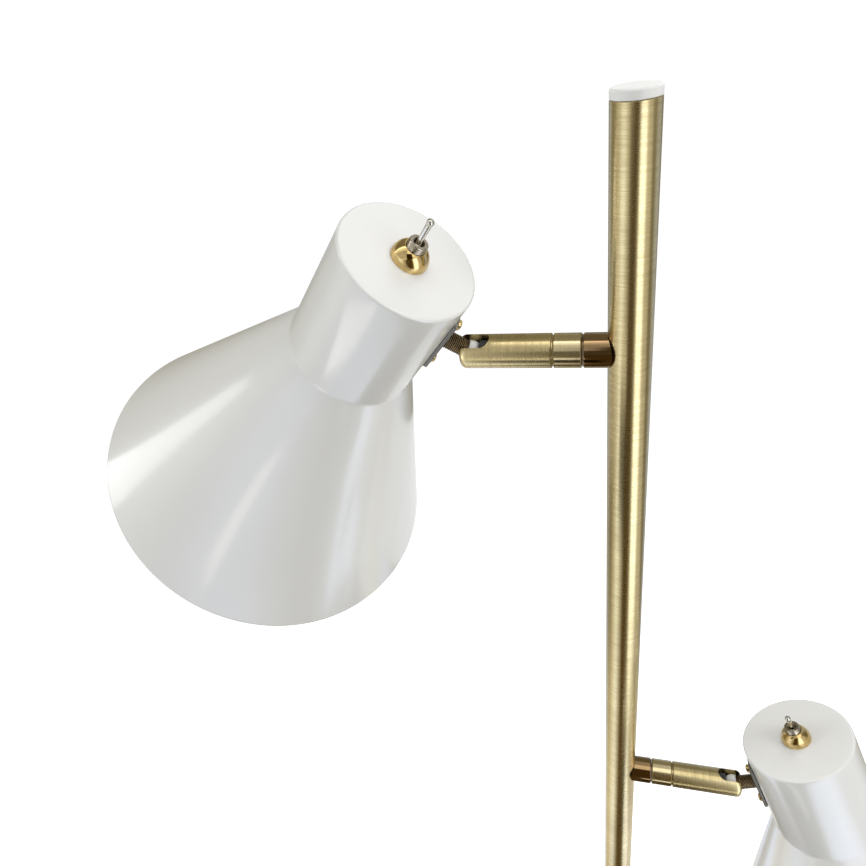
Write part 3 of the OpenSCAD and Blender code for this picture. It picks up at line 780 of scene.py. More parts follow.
@dataclass(frozen=True)
class Enamel(Finish):
    """Stoved enamel on sheet: a gloss coat with a faint orange peel over an even colour."""

    colour: Colour
    shade: Colour
    roughness: float
    gloss: float = 0.16
    peel: float = 2.6
    depth: float = 0.006
    dust: Colour = (0.45, 0.42, 0.36)
    painted_edge_highlight: Colour = (0.95, 0.94, 0.90)

    def lay(self, paint: Paint) -> None:
        """Lays an even colour with sparse dust, a painted highlight on the rounded edges and a gloss coat.

        Args:
            paint: The material under construction.
        """
        patches = paint.patches(60.0)
        peel = paint.effect(EFFECTS.flecks, Size=self.peel, Share=0.5)
        dust = paint.effect(EFFECTS.flecks, Size=0.9, Share=0.02)["Mask"]
        base = paint.blend(patches * 0.5, self.colour, self.shade)
        base = paint.blend(dust * 0.12, base, self.dust)
        # painted highlight: the rounded edges are made lighter, as where light catches them
        base = paint.blend(paint.edge() * 0.25, base, self.painted_edge_highlight)
        rough = patches * 0.06 + self.roughness
        paint.fix(Base_Color=base, Roughness=rough, Coat_Weight=1.0, Coat_Roughness=self.gloss)
        paint.bump(peel["Height"], self.depth)


@dataclass(frozen=True)
class Moulding(Finish):
    """Moulded plastic or phenolic with faint flow marks and specks."""

    colour: Colour
    mark: Colour
    roughness: float
    fleck: float = 1.0
    share: float = 0.25
    depth: float = 0.01

    def lay(self, paint: Paint) -> None:
        """Lays specks, and flow marks five times their size.

        Args:
            paint: The material under construction.
        """
        specks = paint.effect(EFFECTS.flecks, Size=self.fleck, Share=self.share)
        patches = paint.patches(self.fleck * 5)
        base = paint.blend(specks["Mask"] * 0.7 + patches * 0.25, self.colour, self.mark)
        paint.fix(Base_Color=base, Roughness=patches * 0.1 + self.roughness)
        paint.bump(specks["Height"], self.depth)


@dataclass(frozen=True)
class OpalGlass(Finish):
    """White diffusing glass, with its thickness a little uneven."""

    colour: Colour
    thin: Colour
    roughness: float

    def lay(self, paint: Paint) -> None:
        """Lays a glassy skin over an uneven white.

        Args:
            paint: The material under construction.
        """
        patches = paint.patches(25.0)
        base = paint.blend(patches * 0.4, self.colour, self.thin)
        rough = patches * 0.05 + self.roughness
        paint.fix(Base_Color=base, Roughness=rough, Coat_Weight=0.6, Coat_Roughness=0.05)


FINISHES = {
    Slot.ENAMEL: Enamel((0.775, 0.775, 0.75), (0.745, 0.74, 0.71), 0.30),
    # the brass finishes' third colour darkens rounded edges and chamfers: painted shade of the joint lines
    Slot.BRUSHED_BRASS: TurnedMetal(
        (0.72, 0.59, 0.30), (0.40, 0.30, 0.13), (0.34, 0.25, 0.11), 0.24,
        contrast=0.5, depth=0.012, coat=0.25,
        stretch=0.7),
    Slot.TURNED_BRASS: TurnedMetal(
        (0.80, 0.68, 0.40), (0.48, 0.37, 0.18), (0.40, 0.30, 0.14), 0.17, fine=0.15, coarse=0.5, reach=60,
        contrast=0.3, depth=0.004, coat=0.25, stretch=0.5),
    Slot.DARK_BRASS: TurnedMetal(
        (0.40, 0.25, 0.10), (0.20, 0.115, 0.04), (0.10, 0.055, 0.02), 0.08, fine=0.2, coarse=2.5, reach=40,
        contrast=0.35, depth=0.002, coat=1.0),
    Slot.POLISHED_BRASS: PolishedMetal((0.72, 0.54, 0.24), (0.42, 0.27, 0.09), 0.06),
    # the bronze's third colour is a painted highlight on the thread crests
    Slot.BRONZE: TurnedMetal(
        (0.10, 0.062, 0.032), (0.035, 0.021, 0.010), (0.52, 0.38, 0.20), 0.24,
        fine=0.3, coarse=1.2, contrast=0.6,
        depth=0.008),
    Slot.NICKEL: PolishedMetal((0.56, 0.50, 0.40), (0.26, 0.20, 0.13), 0.10, haze=0.12),
    Slot.CHROME: PolishedMetal((0.66, 0.63, 0.56), (0.42, 0.39, 0.33), 0.05),
    Slot.BALL: Moulding((0.76, 0.75, 0.72), (0.46, 0.44, 0.40), 0.35, fleck=1.3, share=0.35, depth=0.03),
    Slot.BLACK_STEEL: SheetMetal((0.012, 0.012, 0.010), (0.035, 0.032, 0.026), (0.50, 0.47, 0.40), 0.32, 0.5),
    Slot.ZINC: SheetMetal((0.50, 0.51, 0.52), (0.36, 0.36, 0.36), (0.70, 0.70, 0.70), 0.30, 1.0, wear=0.5),
    Slot.IRON: Moulding((0.055, 0.055, 0.058), (0.03, 0.028, 0.026), 0.65, fleck=1.6, share=0.5, depth=0.25),
    Slot.RUBBER: Moulding(
        (0.030, 0.030, 0.031), (0.055, 0.053, 0.050), 0.62, fleck=0.9, share=0.2, depth=0.03,
    ),
    Slot.FRICTION: Moulding((0.035, 0.034, 0.033), (0.06, 0.058, 0.055), 0.45),
    Slot.SWITCH: Moulding((0.045, 0.030, 0.020), (0.09, 0.06, 0.04), 0.32, fleck=0.7),
    Slot.CAP: Moulding((0.80, 0.80, 0.78), (0.73, 0.72, 0.69), 0.30, fleck=2.0, share=0.1, depth=0.01),
    Slot.HOLDER: Moulding((0.80, 0.77, 0.70), (0.70, 0.66, 0.57), 0.28, fleck=1.2, share=0.15),
    Slot.OPAL: OpalGlass((0.88, 0.87, 0.84), (0.80, 0.79, 0.76), 0.18),
    Slot.LEAD: Moulding((0.62, 0.60, 0.54), (0.50, 0.48, 0.42), 0.45, fleck=1.5),
}


class PaintShop:
    """Builds each finish once for each frame that needs it."""

    def __init__(self) -> None:
        """Starts with an empty shelf."""
        self.shelf: dict[tuple[Slot, str], Material] = {}

    def get(self, slot: Slot, place: LocalFrame) -> Material:
        """Returns a slot's material for pieces in a frame.

        Args:
            slot: The material slot.
            place: The frame that the finish's lines run round.

        Returns:
            The material.
        """
        key = (slot, place.name)
        if key not in self.shelf:
            self.shelf[key] = FINISHES[slot].build(f"{slot.value}_{place.name}", place)
        return self.shelf[key]


SHOP = PaintShop()


# ---- Geometry Nodes ----


def end_tree(nodes: Nodes, given: dict[str, Value], out: Node, geometry: Socket) -> Tree:
    """Ends a geometry tree in Realize Instances and Set Material.

    Args:
        nodes: The tree's builder.
        given: The group's inputs by name.
        out: The group's output node.
        geometry: The geometry that leaves the tree.

    Returns:
        The tree.
    """
    real = nodes.result("Geometry", "GeometryNodeRealizeInstances", {"Geometry": geometry})
    inputs = {"Geometry": real, "Material": given["Material"]}
    nodes.put(out.inputs["Geometry"], nodes.result("Geometry", "GeometryNodeSetMaterial", inputs))
    return nodes.tree


class Trees:
    """Geometry trees for what repeats or follows a rule."""

    def __init__(self) -> None:
        """Builds each tree once."""
        self.thread = self._thread()
        self.coil = self._coil()
        self.row = self._row()
        self.ring = self._ring()

    def _start(self, name: str, **inputs: str | int | float) -> tuple[Nodes, dict[str, Value], Node]:
        """Starts a tree that takes a mesh, the named inputs and a material, and returns a mesh."""
        sockets = {"Geometry": GEOMETRY, **inputs, "Material": MATERIAL}
        return new_group(name, "GeometryNodeTree", sockets, {"Geometry": GEOMETRY})

    def _thread(self) -> Tree:
        """Cuts a helical thread into the outside of a rod that runs along Z."""
        nodes, given, out = self._start("cut_thread", Start=0.0, End=10.0, Outer=5.0, Root=4.5, Pitch=1.0)
        run_out, crest_flat, skin = 0.5, 0.12, 0.05
        x, y, z = nodes.separate(nodes.add("GeometryNodeInputPosition").outputs[0])
        radius = nodes.math("SQRT", x * x + y * y)
        turn = nodes.math("ARCTAN2", y, x) / (2 * math.pi)
        phase = nodes.math("FRACT", z / given["Pitch"] - turn)
        valley = nodes.spread(nodes.math("ABSOLUTE", phase * 2.0 - 1.0), crest_flat, 1 - crest_flat)
        near = nodes.spread(z, given["Start"], given["Start"] + run_out)
        far = nodes.spread(z, given["End"], given["End"] - run_out)
        share = near * far * nodes.math("GREATER_THAN", radius, given["Root"] - skin)
        depth = (given["Outer"] - given["Root"]) * valley * share
        keep = 1.0 - depth / nodes.math("MAXIMUM", radius, 0.01)
        # The crest mask goes into the edge attribute, on which the bronze finish paints a highlight.
        crest = nodes.spread(valley, 0.0, 0.5, 1.0, 0.0) * share
        noted = nodes.result(
            "Geometry", "GeometryNodeStoreNamedAttribute",
            {"Geometry": given["Geometry"], "Name": EDGE, "Value": crest}, data_type="FLOAT", domain="FACE",
        )
        inputs = {"Geometry": noted, "Position": nodes.combine(x * keep, y * keep, z)}
        return end_tree(nodes, given, out, nodes.result("Geometry", "GeometryNodeSetPosition", inputs))

    def _coil(self) -> Tree:
        """Winds a round wire into an open coil along Z."""
        nodes, given, out = self._start("wind_coil", Turns=6.0, Radius=5.0, Length=14.0, Wire=0.5)
        spiral = nodes.result(0, "GeometryNodeCurveSpiral", {
            "Resolution": 24, "Rotations": given["Turns"], "Start Radius": given["Radius"],
            "End Radius": given["Radius"], "Height": given["Length"],
        })
        section = nodes.result(
            0, "GeometryNodeCurvePrimitiveCircle", {"Resolution": 10, "Radius": given["Wire"]}
        )
        inputs = {"Curve": spiral, "Profile Curve": section, "Fill Caps": True}
        return end_tree(nodes, given, out, nodes.result("Mesh", "GeometryNodeCurveToMesh", inputs))

    def _copies(
        self, nodes: Nodes, given: dict[str, Value], out: Node, line: dict[str, object], **turn: Value
    ) -> Tree:
        """Sets a copy of the mesh on each point of a line.

        Args:
            nodes: The tree's builder.
            given: The group's inputs by name.
            out: The group's output node.
            line: Where the line starts and how it steps.
            turn: How each copy is turned.

        Returns:
            The tree.
        """
        points = nodes.result(0, "GeometryNodeMeshLine", {"Count": given["Count"], **line}, mode="OFFSET")
        inputs = {"Points": points, "Instance": given["Geometry"], **turn}
        return end_tree(nodes, given, out, nodes.result(0, "GeometryNodeInstanceOnPoints", inputs))

    def _row(self) -> Tree:
        """Repeats a piece along a straight line."""
        nodes, given, out = self._start("repeat_in_row", Count=2, Start=VECTOR, Step=VECTOR)
        line = {"Start Location": given["Start"], "Offset": given["Step"]}
        return self._copies(nodes, given, out, line)

    def _ring(self) -> Tree:
        """Repeats a piece round the Z axis, each copy turned to face outwards."""
        nodes, given, out = self._start("repeat_round_axis", Count=3, First=0.0)
        index = nodes.result(0, "GeometryNodeInputIndex")
        angle = index / given["Count"] * (2 * math.pi) + given["First"]
        line = {"Offset": (0.0, 0.0, 0.0)}
        return self._copies(nodes, given, out, line, Rotation=nodes.combine(0.0, 0.0, angle))


TREES = Trees()


def grown(bm: BMesh, tree: Tree, **values: object) -> BMesh:
    """Runs a geometry tree on a mesh and bakes its result.

    Args:
        bm: The mesh that goes in. It is freed.
        tree: The geometry tree.
        values: The tree's inputs by name.

    Returns:
        The mesh that comes out.
    """
    obj = scratch_object(bm)
    modifier = obj.modifiers.new("grow", "NODES")
    modifier.node_group = tree
    for item in tree.interface.items_tree:
        if item.item_type == "SOCKET" and item.in_out == "INPUT" and item.name in values:
            modifier[item.identifier] = values[item.name]
    mesh = evaluated_mesh(obj)
    made = bmesh.new()
    made.from_mesh(mesh)
    bpy.data.objects.remove(obj)
    bpy.data.meshes.remove(mesh)
    return made


# ---- Pieces ----


def add_piece(
    name: str, bm: BMesh, place: LocalFrame, body: str, slot: Slot, stands_for: list[str],
    grain: LocalFrame | None = None, crease: float = CREASE,
) -> Object:
    """Makes a finished piece of the lamp from a mesh in local millimetres.

    Args:
        name: The piece's name.
        bm: Its mesh. It is freed.
        place: The frame that the mesh is built in.
        body: The body that it rides on.
        slot: Its material slot.
        stands_for: The nodes that it replaces.
        grain: The frame that its finish runs round, if it isn't the place.
        crease: Angle in degrees past which an edge stays sharp.

    Returns:
        The piece's object.
    """
    bm.transform(place.matrix())
    mesh = bpy.data.meshes.new(name)
    bm.to_mesh(mesh)
    bm.free()
    return finish_piece(name, mesh, body, slot, stands_for, grain or place, crease)


def finish_piece(
    name: str, mesh: bpy.types.Mesh, body: str, slot: Slot, stands_for: list[str], grain: LocalFrame,
    crease: float,
) -> Object:
    """Shades a placed mesh, gives it its material and ties it to its body."""
    mesh.polygons.foreach_set("use_smooth", [True] * len(mesh.polygons))
    mesh.set_sharp_from_angle(angle=math.radians(crease))
    mesh.materials.clear()
    mesh.materials.append(SHOP.get(slot, grain))
    mesh.polygons.foreach_set("material_index", [0] * len(mesh.polygons))
    mesh.update()
    obj = bpy.data.objects.new(name, mesh)
    bpy.context.scene.collection.objects.link(obj)
    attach(obj, body)
    if stands_for:
        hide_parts(*stands_for)
    log.info("piece %s: %d faces on %s, finish %s", name, len(mesh.polygons), body, slot.value)
    return obj


def refined(
    node: str, body: str, slot: Slot, grain: LocalFrame, break_edge: float = 0.2, crease: float = CREASE,
    sheared: bool = False,
) -> Object:
    """Replaces a node by a merged copy of its mesh whose sharp edges are broken.

    Args:
        node: The node's name.
        body: The body that it rides on.
        slot: Its material slot.
        grain: The frame that its finish runs round.
        break_edge: Width of the broken edge in millimetres.
        crease: Angle in degrees past which an edge stays sharp.
        sheared: Whether the faces along the grain's Z axis are bare, as a shear leaves them.

    Returns:
        The piece's object.
    """
    bm = bmesh.new()
    bm.from_mesh(frame["nodes"][node].data)
    if break_edge:
        broken_edges(bm, break_edge * MM)
    else:
        bmesh.ops.remove_doubles(bm, verts=bm.verts, dist=1e-6)
    if sheared:
        mark = bm.faces.layers.float[EDGE]
        for face in bm.faces:
            if abs(face.normal.dot(grain.turn.col[2])) < 0.3:
                face[mark] = 0.45
    mesh = bpy.data.meshes.new(node)
    bm.to_mesh(mesh)
    bm.free()
    return finish_piece(f"{node}_fine", mesh, body, slot, [node], grain, crease)


def dress(grain: LocalFrame, slots: dict[str, Slot]) -> None:
    """Gives nodes that keep their own meshes their finishes.

    Args:
        grain: The frame that the finishes run round.
        slots: Each node's material slot.
    """
    for node, slot in slots.items():
        obj = frame["nodes"][node]
        material = SHOP.get(slot, grain)
        if not obj.material_slots:
            obj.data.materials.append(material)
        for entry in obj.material_slots:
            entry.material = material
        log.info("node %s: finish %s", node, slot.value)


def moved(x: float, y: float, z: float, axis: str = "X", degrees: float = 0) -> Matrix:
    """A turn about an axis of the frame, then a move in millimetres."""
    return Matrix.Translation((x, y, z)) @ Matrix.Rotation(math.radians(degrees), 4, axis)


@dataclass
class Foot:
    """The weighted foot: pad, plate, weight, spun cover and the cord's grommet."""

    radius: float = 140.0
    height: float = 24.0
    wall: float = 1.2
    shoulder: float = 7.0
    pad: float = 2.5
    gap: float = 0.4
    inlet_z: float = 9.1
    inlet_r: float = 3.3
    neck_r: float = 4.5
    flange_r: float = 5.0
    flange_t: float = 2.0
    out: float = 4.0
    hole_r: float = 5.0
    grip_rings: int = 6
    place: LocalFrame = field(default_factory=world_frame)

    def cover(self) -> None:
        """Spins the cover, with the grommet's hole in its back wall."""
        r, h, w, s = self.radius, self.height, self.wall, self.shoulder
        outer = [(r, self.pad)] + arc(r - s, h - s, s, 0, 90, 14) + [(self.hole_r, h)]
        inner = [(self.hole_r, h - w)] + arc(r - s, h - s, s - w, 90, 0, 14) + [(r - w, self.pad)]
        bm = lathe(spaced(eased(outer + inner, 0.3), 9.0), 288)
        hole = turned(rod(self.neck_r + SLIP, 0, 8), moved(0, r - 5, self.inlet_z, "X", -90))
        bm = carved(bm, [hole])
        add_piece("foot_cover", bm, self.place, "stand", Slot.ENAMEL, ["base_cover"])

    def underside(self) -> None:
        """Makes the pad, with shallow grip rings under it."""
        r = self.radius - self.wall - self.gap
        under: list[Point] = [(0, 0.0)]
        for ring in range(self.grip_rings):
            at = r - 8 - ring * 5
            under[1:1] = [(at - 2.0, 0.0), (at - 1.6, 0.5), (at - 0.4, 0.5), (at, 0.0)]
        bm = lathe(eased(under + [(r, 0.0), (r, self.pad), (0, self.pad)], 0.25), 224)
        add_piece("foot_grip_pad", bm, self.place, "stand", Slot.RUBBER, ["foot_pad"])

    def grommet(self) -> None:
        """Turns the grommet that the cord would pass through."""
        inside = math.sqrt((self.radius - self.wall) ** 2 - self.flange_r**2) - 0.1
        outside, back = self.radius + self.out, inside - self.flange_t
        profile = [
            (self.inlet_r, back), (self.flange_r, back), (self.flange_r, inside), (self.neck_r, inside),
            (self.neck_r, outside), (self.inlet_r, outside),
        ]
        lie = Matrix.Rotation(-math.pi / 2, 3, "X")
        place = LocalFrame("grommet", Vector((0, 0, self.inlet_z * MM)), lie)
        add_piece("cord_bush", lathe(eased(profile, 0.45), 72), place, "stand", Slot.RUBBER, ["cord_grommet"])

    def build(self) -> None:
        """Makes every piece of the foot."""
        self.cover()
        self.underside()
        self.grommet()
        dress(self.place, {
            "base_plate": Slot.ZINC, "base_plate_screws": Slot.ZINC, "base_weight": Slot.IRON,
            "base_nut": Slot.ZINC, "base_nipple": Slot.TURNED_BRASS,
        })


@dataclass
class Pole:
    """The two brushed tubes, the plug in the top and what is inside them."""

    radius: float = 11.0
    wall: float = 1.2
    foot_z: float = 24.0
    joint_z: float = 762.0
    top_z: float = 1500.0
    cap_h: float = 4.6
    cap_edge: float = 1.2
    cap_shank: float = 12.0
    cap_wall: float = 1.6
    rim_gap: float = 0.12
    arm_hole: float = 5.0
    arm_zs: tuple[float, float] = (1384.0, 1021.6)
    place: LocalFrame = field(default_factory=world_frame)

    def tube(self, start: float, end: float) -> BMesh:
        """A tube with broken edges and rings every 30 mm."""
        r, bore = self.radius, self.radius - self.wall
        profile = [(bore, start), (r, start), (r, end), (bore, end)]
        return lathe(spaced(eased(profile, 0.22), 30.0), 160)

    def cap(self) -> None:
        """Moulds the plug, with a hollow shank inside the tube."""
        r, h, edge = self.radius, self.cap_h, self.cap_edge
        shank = r - self.wall - SLIP
        inside = shank - self.cap_wall
        profile = [
            (0, 0), (inside, 0), (inside, -self.cap_shank), (shank, -self.cap_shank), (shank, self.rim_gap),
            (r - 0.35, self.rim_gap), (r, 0.45),
        ]
        profile += arc(r - edge, h - edge, edge, 0, 90, 8) + [(r * 0.5, h), (0, h)]
        place = self.place.moved(0, 0, self.top_z)
        add_piece("pole_plug", lathe(eased(profile, 0.12), 160), place, "stand", Slot.CAP, ["pole_cap"])

    def build(self) -> None:
        """Makes every piece of the pole."""
        lower, upper = self.tube(self.foot_z, self.joint_z), self.tube(self.joint_z, self.top_z)
        add_piece("pole_tube_lower", lower, self.place, "stand", Slot.BRUSHED_BRASS, ["lower_pole"])
        holes = [
            turned(rod(self.arm_hole, 0, 2 * self.radius), moved(0, 0, z, "Y", turn))
            for z, turn in zip(self.arm_zs, (-90, 90))
        ]
        upper = carved(upper, holes)
        add_piece("pole_tube_upper", upper, self.place, "stand", Slot.BRUSHED_BRASS, ["upper_pole"])
        self.cap()
        dress(self.place, {
            "pole_inserts": Slot.ZINC, "joint_nipple": Slot.TURNED_BRASS, "pole_lead": Slot.LEAD,
            "arm_spindles": Slot.ZINC, "spindle_nuts": Slot.ZINC, "friction_washers": Slot.FRICTION,
            "stop_pins": Slot.ZINC,
        })


class Sided:
    """What an arm and a head share: pieces that are named after their side."""

    name: str
    body: str
    axis: LocalFrame

    def piece(
        self, word: str, bm: BMesh, slot: Slot, node: str, place: LocalFrame | None = None, body: str = "",
        grain: LocalFrame | None = None, crease: float = CREASE,
    ) -> None:
        """Adds a piece of this side.

        Args:
            word: The piece's name without the side.
            bm: Its mesh. It is freed.
            slot: Its material slot.
            node: The node that it replaces, without the side, or nothing.
            place: The frame that the mesh is built in, if it isn't the axis.
            body: The body that it rides on, if it isn't this side's own.
            grain: The frame that its finish runs round, if it isn't the place.
            crease: Angle in degrees past which an edge stays sharp.
        """
        nodes = [f"{self.name}_{node}"] if node else []
        where = place or self.axis
        add_piece(f"{self.name}_{word}", bm, where, body or self.body, slot, nodes, grain, crease)


@dataclass
class Arm(Sided):
    """A smooth collar on the pole, then the turned ring and the slotted tube that swivel on it."""

    side: Side
    radius: float = 9.1
    pole_r: float = 11.0
    collar_end: float = 22.6
    spigot_r: float = 8.4
    spigot_end: float = 23.2
    saddle_r: float = 18.0
    ring_start: float = 23.4
    ring_end: float = 38.1
    fork_start: float = 38.9
    pivot_x: float = 81.9
    nose_end: float = 87.4
    nose_r: float = 3.6
    slot_x: float = 76.3
    slot_half: float = 5.3
    seat_r: float = 6.12
    hole_r: float = 5.0
    bore_r: float = 3.5
    pocket_r: float = 7.937
    bearing: float = 4.2
    tenon_start: float = 32.0
    mark_count: int = 54
    mark_depth: float = 0.006
    uneven: float = 0.002
    chamfer: tuple[float, float] = (0.75, 0.55)
    spring_bore: float = 12.0
    spring_turns: float = 7.5
    wire_r: float = 0.55
    cup_front: float = -5.2
    cup_l: float = 6.0

    def __post_init__(self) -> None:
        """Finds the arm's frame."""
        self.name = self.side.value
        self.body = f"{self.name}_arm"
        self.fork = fork_frame(self.side)
        self.axis = self.fork.along_x()

    def collar(self) -> None:
        """Turns the smooth collar and hollows its end over the pole."""
        r, start = self.radius, self.pole_r - 6
        profile = [
            (self.hole_r, start), (r, start), (r, self.collar_end), (self.spigot_r, self.collar_end),
            (self.spigot_r, self.spigot_end), (self.hole_r, self.spigot_end),
        ]
        blank = lathe(spaced(eased(profile, 0.5, 4), 1.5), 144)
        # The saddle is cut upright, in the lamp's own frame, before the collar is laid along its arm
        lie = self.axis.matrix().inverted() @ Matrix.Translation(self.fork.origin) @ Matrix.Scale(MM, 4)
        along = 1 if self.side is Side.LOWER else -1
        saddle = rod(self.saddle_r, -self.radius * 2, self.radius * 2, 160)
        saddle.transform(lie @ Matrix.Translation((along * (self.pole_r - self.saddle_r), 0, 0)))
        bm = carved(blank, [saddle])
        self.piece("collar_turned", bm, Slot.DARK_BRASS, "collar", body="stand", crease=30)

    def ring(self) -> None:
        """Turns the ring, with a chamfer at both ends and fine tool marks between."""
        r, a, b = self.radius, self.ring_start, self.ring_end
        across, along = self.chamfer
        marks: list[Point] = []
        low, high = a + 0.9, b - 0.9
        for k in range(self.mark_count):
            depth = self.mark_depth * (0.5 + 0.5 * math.sin(k * 2.4)) + self.uneven * math.sin(k * 5.1)
            marks.append((r - 0.03 - depth, low + (high - low) * k / (self.mark_count - 1)))
        shelf = a + self.bearing
        inside = [(self.pocket_r, b), (self.pocket_r, shelf), (self.hole_r, shelf), (self.hole_r, a)]
        profile = [(r - across, a), (r, a + along)] + marks + [(r, b - along), (r - across, b)] + inside
        self.piece("ring_turned", lathe(eased(profile, 0.12, 2, 30), 176), Slot.TURNED_BRASS, "ring")

    def tube(self) -> None:
        """Turns the tube with its rounded nose and mills the slot for the stem."""
        r, tenon, start = self.radius, self.pocket_r - SLIP, self.fork_start
        mouth, x = self.slot_half, self.slot_x
        angle = math.degrees(math.asin(mouth / self.seat_r))
        outer = [(self.bore_r, self.tenon_start), (tenon, self.tenon_start), (tenon, start), (r, start)]
        nose = arc(r - self.nose_r, self.nose_end - self.nose_r, self.nose_r, 0, 90, 12)
        seat = arc(0, self.pivot_x, self.seat_r, 90 - angle, 0, 14)
        inner = [(self.seat_r, start + self.spring_bore), (self.bore_r, start + self.spring_bore)]
        profile = eased(outer + nose + [(mouth, self.nose_end)] + seat + inner, 0.3, 3)
        blank = lathe(spaced(profile, 3.0), 160)
        # In the tube's own frame the slotted side is -X and the pole lies towards -Z
        wide = block((-2 * r, -mouth, x), (0, mouth, self.nose_end + 1))
        round_end = turned(rod(mouth, 0, 2 * r, 64), moved(0, 0, x, "Y", -90))
        bm = carved(blank, [wide, round_end])
        self.piece("slotted_tube", bm, Slot.BRUSHED_BRASS, "fork_tube", crease=30)

    def spring(self) -> None:
        """Winds the spring that presses the cup against the ball."""
        start = self.fork_start + self.spring_bore + 0.1
        length = self.pivot_x + self.cup_front - self.cup_l - start - 2 * self.wire_r
        coil = grown(
            bmesh.new(), TREES.coil, Turns=self.spring_turns, Radius=self.seat_r - 0.3 - self.wire_r,
            Length=length, Wire=self.wire_r, Material=SHOP.get(Slot.ZINC, self.axis),
        )
        coil.transform(Matrix.Translation((0, 0, start + self.wire_r)))
        self.piece("spring_coil", coil, Slot.ZINC, "seat_spring", crease=60)

    def build(self) -> None:
        """Makes every piece of the arm."""
        self.collar()
        self.ring()
        self.tube()
        self.spring()
        dress(self.axis, {f"{self.name}_seat_cup": Slot.FRICTION})


